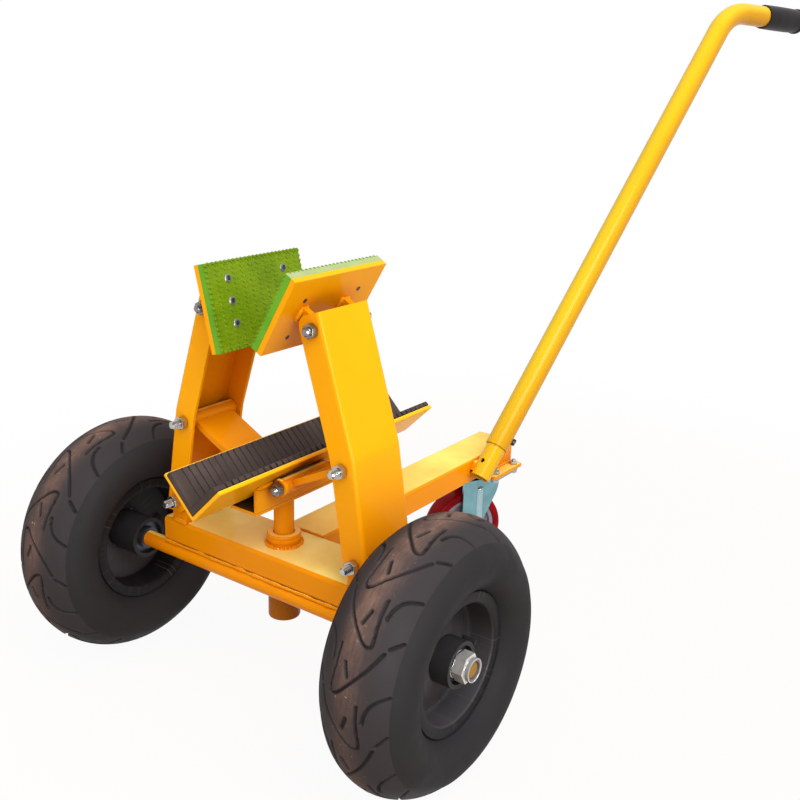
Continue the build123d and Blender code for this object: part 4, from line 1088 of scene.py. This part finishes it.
def in_channel(face):
    """Whether a face is on the channel's inside, which takes a near-black painted shade."""
    within = abs(face.center.x) < channel_half - channel_sheet + 0.0005
    return within and face.center.z > channel_z + channel_sheet - 0.0005


# The channel's inside takes a near-black copy of the paint as painted shade.
channel_shade_paint = sprayed_paint("channel_shade_paint", (0.09, 0.035, 0.006), (0.02, 0.01, 0.004), (0.10, 0.05, 0.01))
part_finish(channel, channel_shade_paint, in_channel)
trough_sheet = 0.006
lip = trough_sheet / math.sqrt(2)
reach = trough_high.x
bm = bmesh.new()
add_plate(bm, [
    (0, trough_low.y, v_bottom), (reach, trough_low.y, v_bottom + reach),
    (reach - lip, trough_low.y, v_bottom + reach + lip), (0, trough_low.y, v_bottom + 2 * lip),
    (lip - reach, trough_low.y, v_bottom + reach + lip), (-reach, trough_low.y, v_bottom + reach),
], (0, trough_high.y - trough_low.y, 0), [(0, 0.004)], segments=6)
# The trough takes a paler copy of the paint with a much lighter shade tone: painted light that lifts its
# shaded underside.
trough_lifted_paint = sprayed_paint("trough_paint_lifted", (1.0, 0.53, 0.010), (0.88, 0.31, 0.004), pale_dust_sheen)
finished(bm, "trough_angle", trough_lifted_paint, "cradle", ["trough"], soft=0.0016)
front_run, back_run = (channel_front, channel_front + 0.033), (channel_back - 0.09, channel_back)
trough_seam_x, trough_seam_z = channel_half + 0.0012, v_bottom + 0.0235
bm = bmesh.new()
for side in (-1, 1):
    for run, seed in ((front_run, 13.0), (back_run, 14.0)):
        ends = [(side * trough_seam_x, y, trough_seam_z) for y in run]
        add_weld(bm, *ends, radius=0.0030, seed=seed + side)
    for y, seed in ((-ear_seam, 15.0), (ear_seam, 16.0)):
        ends = [(side * channel_half, arm_middle + y, z) for z in (ear_low, ear_notch)]
        add_weld(bm, *ends, radius=0.0034, seed=seed + side)
finished(bm, "cradle_welds", yellow, "cradle", crease=70)
ear_out = ear_gap + ear_thick
bm = bmesh.new()
for side in (-1, 1):
    add_pivot_bolt(bm, side * inner_x, inner_z, arm_middle - ear_out, arm_middle + ear_out, tail=0.004)
# A darker copy of the zinc, painted shade for the bolts under the trough and by the jaws.
shaded_zinc = bare_metal("shaded_zinc", (0.27, 0.26, 0.25), (0.03, 0.03, 0.03), rough=(0.18, 0.32), metal=0.95)
finished(bm, "inner_bolts", shaded_zinc, "cradle", ["link_bolts"], crease=30)

# Trough strips: two lengths of ribbed black rubber glued into the angle to save the slab's edge.
# Ribs about 12 mm wide run across them, with narrow grooves between and a plain band at the front.
strip_wide, strip_thick, strip_length = 0.066, 0.009, trough_high.y - trough_low.y
rib_pitch, groove_share, plain_band, top_groove, edge_groove = 0.0121, 0.12, 0.020, 0.0042, 0.0034
ribs_above, ribs_from, edge_from, strip_cuts = 0.004, 0.012, 0.060, 399


def groove_at(from_front):
    """How deep the groove is at a distance from the strip's front, from 0 to 1."""
    if from_front < plain_band:
        return 0.0
    phase = ((from_front - plain_band) / rib_pitch) % 1.0
    return eased(max(0.0, 1 - min(phase, 1 - phase) / groove_share))


trough_rubber = moulded_rubber(
    "ribbed_rubber", (0.058, 0.042, 0.038), (0.090, 0.066, 0.060), rough=(0.5, 0.7), grain=110.0,
)
bm = bmesh.new()
for side in (-1, 1):
    along_leg = Vector((side, 0, 1)).normalized()
    off_leg = Vector((-side, 0, 1)).normalized()
    foot = Vector((side * 0.0001, trough_low.y, v_bottom + 2 * lip + 0.0002))
    sizes = ((0.0, 0.0), (strip_wide, 0.0), (strip_wide, strip_thick), (strip_thick, strip_thick))
    corners = [foot + along_leg * along + off_leg * off for along, off in sizes]
    strip = bmesh.new()
    add_plate(strip, corners, (0, strip_length, 0), [(1, 0.0025), (2, 0.003)], segments=5)
    long_edges = [edge for edge in strip.edges if abs(edge.verts[0].co.y - edge.verts[1].co.y) > 0.3]
    bmesh.ops.subdivide_edges(strip, edges=long_edges, cuts=strip_cuts)
    for vert in strip.verts:
        groove = groove_at(vert.co.y - trough_low.y)
        height = (vert.co - foot).dot(off_leg)
        length = (vert.co - foot).dot(along_leg)
        if height > ribs_above and length > ribs_from:
            vert.co -= off_leg * top_groove * groove
        if length > edge_from:
            vert.co -= along_leg * edge_groove * groove
    join(bm, strip)
finished(bm, "trough_strips", trough_rubber, "cradle", ["trough_pads"], crease=60)

# Links: two flat steel plates that push the arms as the cradle goes down.
# Each has a sleeve welded along both ends, in which the pivot bolts turn.
outer_x, outer_z = 0.1495, 0.4075
link_run = math.hypot(outer_x - inner_x, outer_z - inner_z)
link_slope = math.atan2(outer_z - inner_z, outer_x - inner_x)
link_half, link_thick, link_inset, sleeve_length, sleeve_radius = 0.037, 0.010, 0.009, 0.0930, 0.0120
# The links take a darker, more orange copy of the paint, as painted shade from the trough above them.
link_shade_paint = sprayed_paint("link_paint_shaded", (0.88, 0.33, 0.002), (0.62, 0.14, 0.001), (0.95, 0.62, 0.11))
for name, side in (("right_link", 1), ("left_link", -1)):
    bm = bmesh.new()
    add_box(
        bm, (link_inset, -link_half, -link_thick / 2), (link_run - link_inset, link_half, link_thick / 2),
    )
    for at, bore in ((0.0, 0.0061), (link_run, 0.0069)):
        sleeve = ring_outline(sleeve_length, bore, sleeve_radius, chamfer=0.0008)
        add_turned(bm, sleeve, (at, -sleeve_length / 2, 0), (0, 1, 0), steps=36)
    put = Matrix.Translation((inner_x, arm_middle, inner_z)) @ Matrix.Rotation(-link_slope, 4, "Y")
    put = Matrix.Diagonal((side, 1, 1, 1)) @ put
    finished(bm, name + "_plate", link_shade_paint, name, [name], soft=0.001, put=put)

# Arms: two channels folded from 5 mm sheet and bent in towards the slab, open on the inside.
# Each turns on its base bolt and carries the link's outer bolt and its jaw's bolt.
arm_lower, arm_upper = math.radians(9.5), math.radians(17.6)
arm_foot, arm_top, kink_x, kink_z = 0.258, 0.613, 0.1685, 0.424
flange_depth, foot_round, top_round, bend_half = 0.040, 0.014, 0.016, 0.004
quarter = [math.radians(15 * step) for step in range(7)]


def arm_line(inset):
    """Bottom, kink and top of the arm's web, at a distance in from its outer face."""
    bend = (arm_lower + arm_upper) / 2
    shift = inset / math.cos((arm_upper - arm_lower) / 2)
    kink = (kink_x - shift * math.cos(bend), kink_z - shift * math.sin(bend))
    bottom = (kink[0] + (kink[1] - arm_foot) * math.tan(arm_lower), arm_foot)
    top_z = arm_top - inset * math.sin(arm_upper)
    return [bottom, kink, (kink[0] - (top_z - kink[1]) * math.tan(arm_upper), top_z)]


def arm_place(inset, share):
    """Place in the arm's side view: share is 0 at its foot, 1 at the bend and 2 at its top."""
    line = arm_line(inset)
    part = min(int(share), 1)
    low, high = Vector(line[part]), Vector(line[part + 1])
    return low + (high - low) * (share - part)


def fold_section(flange):
    """Outline round the folded sheet, as (inset from the web's outer face, place across the arm)."""
    fold, sheet, width = 0.006, 0.005, arm_back - arm_front
    halves = []
    for radius, edge in ((fold, 0.0), (fold - sheet, sheet)):
        arc = [(fold - radius * math.sin(turn), fold - radius * math.cos(turn)) for turn in quarter]
        halves.append([(flange, edge)] + arc)
    outside, inside = halves
    there = outside + [(inset, width - across) for inset, across in reversed(outside)]
    return there + [(inset, width - across) for inset, across in inside] + list(reversed(inside))


def flange_end(radius, run):
    """Steps of (share of the run, depth of the flanges) round the flanges' corner at one end."""
    steps = []
    for turn in quarter:
        depth = flange_depth - radius * (1 - math.sin(turn))
        steps.append((radius * (1 - math.cos(turn)) / run, depth))
    return steps


def add_arm(bm, side):
    """Draw the folded section out from the arm's foot to its top, one stage after another."""
    face, before = None, []
    for share, flange in stages:
        after = []
        for inset, across in fold_section(flange):
            x, z = arm_place(inset, share)
            after.append(Vector((side * x, arm_front + across, z)))
        if face:
            drawn = bmesh.ops.extrude_face_region(bm, geom=[face])["geom"]
            if share > stages[1][0]:
                bmesh.ops.delete(bm, geom=[face], context="FACES_ONLY")
            face = [part for part in drawn if isinstance(part, bmesh.types.BMFace)][0]
            for vert in face.verts:
                number = min(range(len(before)), key=lambda n: (before[n] - vert.co).length)
                vert.co = after[number]
        else:
            face = bm.faces.new([bm.verts.new(spot) for spot in after])
        before = after


jaw_x, jaw_z = 0.0985, 0.5875
web = [Vector(spot) for spot in arm_line(0)]
lower_run, upper_run = (web[1] - web[0]).length, (web[2] - web[1]).length
stages = flange_end(foot_round, lower_run)
for share in (1 - bend_half / lower_run, 1.0, 1 + bend_half / upper_run):
    stages.append((share, flange_depth))
stages += [(2 - share, depth) for share, depth in reversed(flange_end(top_round, upper_run))]
for name, side in (("right_arm", 1), ("left_arm", -1)):
    bm = bmesh.new()
    add_arm(bm, side)
    finished(bm, name + "_channel", yellow, name, [name], soft=0.0007, segments=2)
    bm = bmesh.new()
    for x, z, tail in ((outer_x, outer_z, 0.014), (jaw_x, jaw_z, 0.006)):
        add_pivot_bolt(bm, side * x, z, arm_front, arm_back, tail)
    pivots = finished(bm, name + "_pivots", zinc, name, [name + "_bolts"], crease=30)
    # The jaw bolts, above the link bolts, take the darker zinc as painted shade.
    part_finish(pivots, shaded_zinc, lambda face: face.center.z > (outer_z + jaw_z) / 2)

# Jaws: two flat steel plates that hang on the arms' top bolts by a pair of lugs.
# The lugs are welded on, and both jaws tilt freely to find the slab's face.
jaw_back, jaw_face, pad_face = 0.066, 0.058, 0.046
jaw_middle, jaw_half, jaw_below, jaw_above = place(0, 0.051, 0).y, 0.094, 0.0635, 0.0585
jaw_front_y, jaw_back_y = jaw_middle - jaw_half, jaw_middle + jaw_half
jaw_low, jaw_high = jaw_z - jaw_below, jaw_z + jaw_above
hinge_half, hinge_thick, hinge_gap, hinge_round = 0.0112, 0.010, 0.0365, 0.01119
# Each jaw's name, side, tilt in degrees, and how far its screws sit above the pivot.
jaws = (("right", 1, 30.0, -0.009), ("left", -1, 14.5, 0.003))


def hang(tilt, side):
    """Matrix that tilts a jaw drawn upright on the right, and mirrors it for the left."""
    to_pivot = Matrix.Translation((jaw_x, arm_middle, jaw_z))
    turned = to_pivot @ Matrix.Rotation(math.radians(tilt), 4, "Y") @ to_pivot.inverted()
    return Matrix.Diagonal((side, 1, 1, 1)) @ turned


def screw_places(rise):
    """Places of a pad's six screws, in two columns of three."""
    column_half, row_step = 0.055, 0.031
    rows = [jaw_z + rise + row * row_step for row in (-1, 0, 1)]
    return [(jaw_middle + column * column_half, z) for column in (-1, 1) for z in rows]


def hole_finish():
    """Dark disc, slightly rusty in tone, that stands for a threaded hole as painted shade."""
    finish, tree, shader = new_finish("screw_hole")
    colour = tinted(tree, speckle(tree, 300.0), (0.02, 0.012, 0.008), (0.06, 0.03, 0.015))
    wire(tree, shader, Base_Color=colour, Roughness=0.7)
    return finish


hole_dark = hole_finish()
hole_outline = [(0.0, 0.0), (0.0, 0.0034), (0.0002, 0.0036), (-0.002, 0.0036)]
hinge_low, hinge_high = jaw_z - hinge_half, jaw_z + hinge_half
hinge_foot, hinge_tip = jaw_back - 0.002, jaw_x + hinge_half
weld_near, weld_far = hinge_gap - 0.0005, hinge_gap + hinge_thick + 0.0005
for name, side, tilt, rise in jaws:
    body, put = name + "_jaw", hang(tilt, side)
    bm = bmesh.new()
    add_box(bm, (jaw_face, jaw_front_y, jaw_low), (jaw_back, jaw_back_y, jaw_high))
    for y in (arm_middle - hinge_gap - hinge_thick, arm_middle + hinge_gap):
        add_plate(bm, [
            (hinge_foot, y, hinge_low), (hinge_tip, y, hinge_low),
            (hinge_tip, y, hinge_high), (hinge_foot, y, hinge_high),
        ], (0, hinge_thick, 0), [(1, hinge_round), (2, hinge_round)], segments=12)
    finished(
        bm, name + "_plate_piece", yellow, body, [body + "_plate"], soft=0.0024, put=put,
    )
    bm = bmesh.new()
    for number, y in enumerate((-weld_far, -weld_near, weld_near, weld_far)):
        ends = [(jaw_back + 0.0006, arm_middle + y, jaw_z + z) for z in (-0.012, 0.012)]
        add_weld(bm, *ends, radius=0.0040, seed=30.0 + number + side)
    finished(bm, name + "_jaw_welds", yellow, body, crease=70, put=put)
    # Each screw's end is drawn as a dark disc, painted shade standing in for its threaded hole.
    bm = bmesh.new()
    for y, z in screw_places(rise):
        add_turned(bm, hole_outline, (jaw_back + 0.0001, y, z), (1, 0, 0), steps=16)
    finished(bm, name + "_screw_ends", hole_dark, body, put=put)

# Jaw pads: green cast polyurethane sheets with a raised herringbone on the gripping face.
# Six screws with wide heads hold each one; the cut sides show the clear bright green inside.
def cast_green(name, colour, deep, rough):
    """Green cast polyurethane, with painted shade deepening its grooves."""
    finish, tree, shader = new_finish(name)
    cloud = ramp(tree, speckle(tree, 18.0, 4.0), 0.3, 0.72)
    groove = ramp(tree, open_sky(tree, 0.003), 0.85, 0.3)
    tone = tinted(tree, groove, tinted(tree, cloud, colour, deep), [0.8 * part for part in deep])
    wire(
        tree, shader, Base_Color=tone, Roughness=spread(tree, speckle(tree, 60.0), *rough),
        Subsurface_Weight=0.10, Subsurface_Radius=(0.004, 0.008, 0.002), Subsurface_Scale=0.6,
        Specular_IOR_Level=0.12, Coat_Weight=0.06, Normal=relief(tree, (speckle(tree, 220.0), 0.12, 0.0005)),
    )
    return finish


columns, rows = 24, 17
pitch_y, pitch_z = (jaw_back_y - jaw_front_y) / columns, (jaw_high - jaw_low) / rows
rib_height, rib_length, rib_width, rib_taper, screw_room = 0.0013, 0.0090, 0.0026, 0.62, 0.0105
nub_radius, nub_inset, side_area = 0.0022, 0.0012, 0.0008
sheet_face, rib_seat, nub_seat = pad_face + 0.0010, pad_face + 0.0009, pad_face + 0.0012


def add_pad(bm, screws):
    """Pad with slanting ribs that turn from column to column, and small nubs round its rim."""
    add_box(bm, (sheet_face, jaw_front_y, jaw_low), (jaw_face, jaw_back_y, jaw_high))
    for column in range(columns):
        for row in range(rows):
            y = jaw_front_y + (column + 0.5) * pitch_y
            z = jaw_low + (row + 0.5) * pitch_z
            if min(math.hypot(y - at_y, z - at_z) for at_y, at_z in screws) < screw_room:
                continue
            rib = bmesh.ops.create_cube(bm, size=1.0)["verts"]
            for vert in rib:
                narrow = rib_taper if vert.co.x < 0 else 1.0
                sizes = (rib_height, rib_length * narrow, rib_width * narrow)
                vert.co = Vector([part * size for part, size in zip(vert.co, sizes)])
            slant = Matrix.Rotation(math.radians(45 if column % 2 else -45), 4, "X")
            bmesh.ops.transform(bm, matrix=Matrix.Translation((rib_seat, y, z)) @ slant, verts=rib)
    for vert in bm.verts:
        vert.co.y = min(max(vert.co.y, jaw_front_y), jaw_back_y)
        vert.co.z = min(max(vert.co.z, jaw_low), jaw_high)
    nubs = []
    for row in range(rows):
        for y in (jaw_front_y + nub_inset, jaw_back_y - nub_inset):
            nubs.append((y, jaw_low + (row + 0.5) * pitch_z))
    for column in range(1, columns):
        for z in (jaw_low + nub_inset, jaw_high - nub_inset):
            nubs.append((jaw_front_y + column * pitch_y, z))
    for y, z in nubs:
        spot = Matrix.Translation((nub_seat, y, z))
        bmesh.ops.create_uvsphere(bm, u_segments=8, v_segments=6, radius=nub_radius, matrix=spot)


pad_green = cast_green(
    "green_polyurethane", (0.180, 0.295, 0.005), (0.120, 0.225, 0.003), rough=(0.28, 0.42),
)
side_green = cast_green("green_side", (0.16, 0.47, 0.024), (0.11, 0.38, 0.018), rough=(0.28, 0.4))
# The pad's upward cut faces take a pale green, a painted highlight where light falls on them.
top_highlight_green = cast_green("green_top_highlight", (0.38, 0.46, 0.22), (0.28, 0.38, 0.14), rough=(0.28, 0.4))
screw_zinc = bare_metal("screw_zinc", (0.27, 0.29, 0.23), (0.06, 0.07, 0.04), rough=(0.30, 0.45), metal=0.6)
screw_outline = [
    (0.0004, 0.0), (0.0004, 0.0030), (-0.0012, 0.0034), (-0.0020, 0.0038), (-0.0020, 0.0046),
    (-0.0008, 0.0050), (-0.0004, 0.0058), (0.0004, 0.0064), (0.0022, 0.0065), (0.0035, 0.0062),
    (0.0035, 0.003), (0.0190, 0.003), (0.0190, 0.0),
]
for name, side, tilt, rise in jaws:
    body, put, screws = name + "_jaw", hang(tilt, side), screw_places(rise)
    front, top = put.to_3x3() @ Vector((-1, 0, 0)), put.to_3x3() @ Vector((0, 0, 1))
    bm = bmesh.new()
    add_pad(bm, screws)
    pad = finished(
        bm, name + "_pad", pad_green, body, [body + "_pad"], crease=30, put=put,
    )
    large = [face for face in pad.data.polygons if face.area > side_area]
    cut_sides = [face for face in large if face.normal.dot(front) < 0.5]
    cut_sides = {face.index: face.normal.dot(top) > 0.5 for face in cut_sides}
    part_finish(pad, side_green, lambda face: face.index in cut_sides)
    part_finish(pad, top_highlight_green, lambda face: cut_sides.get(face.index))
    bm = bmesh.new()
    for y, z in screws:
        add_turned(bm, screw_outline, (pad_face + 0.0004, y, z), (1, 0, 0), steps=24)
    heads = len(bm.faces)
    for y, z in screws:
        add_hex(bm, (pad_face - 0.0006, y, z), (pad_face + 0.0014, y, z), flats=0.0046)
    screw_set = finished(
        bm, name + "_screws", screw_zinc, body, [name + "_pad_screws"], crease=30, put=put,
    )
    # The hex in each screw head takes the dark bearing steel, painted shade standing in for its socket.
    part_finish(screw_set, bearing_steel, lambda face: face.index >= heads)

# Studio: a pale floor that keeps a soft shadow and fades to white, and one large lamp high on the right.
# The surroundings fill the shadows with a softer, warmer light, a little more of it from above.
# A strip lamp and a dim room behind the camera show in reflections only.
def seen_rays(tree):
    """Rays from the camera, and all those that show a thing: camera, glossy and transmission."""
    rays = add_node(tree, "LightPath").outputs
    seen = calculated(tree, "MAXIMUM", rays["Is Camera Ray"], rays["Is Glossy Ray"])
    return rays["Is Camera Ray"], calculated(tree, "MAXIMUM", seen, rays["Is Transmission Ray"])


def floor_finish():
    """White where it is seen, with a little of the shadow near the object, and pale brown to light."""
    finish, tree, shader = new_finish("pale_floor")
    tree.nodes.clear()
    where = add_node(tree, "TexCoord").outputs["Object"]
    away = calculated(tree, "LENGTH", where, kind="VectorMath")
    fade = spread(tree, ramp(tree, away, 0.5, 1.6), 0.94, 1.0)
    white = add_node(tree, "Emission", Color=(1, 1, 1, 1), Strength=1.0)
    pale = add_node(tree, "BsdfDiffuse", Color=(0.56, 0.47, 0.37, 1))
    mixed = add_node(tree, "MixShader")
    sources = (times(tree, fade, seen_rays(tree)[1]), pale.outputs["BSDF"], white.outputs["Emission"])
    for socket, source in zip(mixed.inputs, sources):
        feed(tree, socket, source)
    add_node(tree, "OutputMaterial", Surface=mixed.outputs["Shader"])
    return finish


def add_lamp(name, shape, energy, size, at, aim):
    """Area lamp at one point that looks at another."""
    lamp = bpy.data.lights.new(name, "AREA")
    lamp.shape = shape
    lamp.energy = energy
    lamp.size, lamp.size_y = size
    stood = show(name, lamp)
    stood.location = at
    stood.rotation_euler = (aim - at).to_track_quat("-Z", "Y").to_euler()
    return stood


bm = bmesh.new()
bmesh.ops.create_grid(bm, x_segments=8, y_segments=8, size=14.0)
floor = show("floor", made_mesh(bm, "floor"))
floor.data.materials.append(floor_finish())

world = bpy.data.worlds.new("studio")
bpy.context.scene.world = world
world.use_nodes = True
tree = world.node_tree
sky = tree.nodes["Background"]
by_camera, shown = seen_rays(tree)
way = add_node(tree, "TexCoord").outputs["Generated"]
bright_way, dim_way = Vector((0.45, -0.34, 0.82)).normalized(), (0.553, -0.7755, 0.304)
bright = ramp(tree, calculated(tree, "DOT_PRODUCT", way, bright_way, kind="VectorMath"), 0.1, 1.0)
room = ramp(tree, calculated(tree, "DOT_PRODUCT", way, dim_way, kind="VectorMath"), 0.35, 0.85)
backdrop = calculated(tree, "MAXIMUM", by_camera, spread(tree, room, 1.0, 0.22))
level = add_node(tree, "Mix")
for number, value in ((0, shown), (2, spread(tree, bright, 0.36, 1.76)), (3, backdrop)):
    feed(tree, level.inputs[number], value)
warm = tinted(tree, bright, (1.0, 0.76, 0.52), (1, 1, 1))
wire(tree, sky, Strength=level.outputs[0], Color=tinted(tree, shown, warm, (1, 1, 1)))

overhead_at, overhead_aim = place(1.80, -0.70, 2.57), place(0.0, 0.2, 0.35)
strip_at, strip_aim = place(1.82, -1.30, 0.70), place(0.17, 0.0, 0.45)
add_lamp("overhead", "DISK", energy=42, size=(1.8, 1.8), at=overhead_at, aim=overhead_aim)
strip_lamp = add_lamp(
    "side_strip", "RECTANGLE", energy=66, size=(0.28, 1.3), at=strip_at, aim=strip_aim,
)
strip_lamp.visible_diffuse = False

lens = bpy.data.cameras.new("camera")
lens.lens = 46.18
lens.sensor_width = 36
camera = show("camera", lens)
rightward, upward, backward = (0.8082, 0.5882, 0.0293), (-0.2016, 0.2295, 0.9522), (0.5533, -0.7755, 0.304)
stand = Matrix((rightward, upward, backward)).transposed().to_4x4()
stand.translation = place(0.9354, -0.9843, 0.9060)
camera.matrix_world = stand
bpy.context.scene.camera = camera
bpy.context.scene.view_settings.view_transform = "Standard"
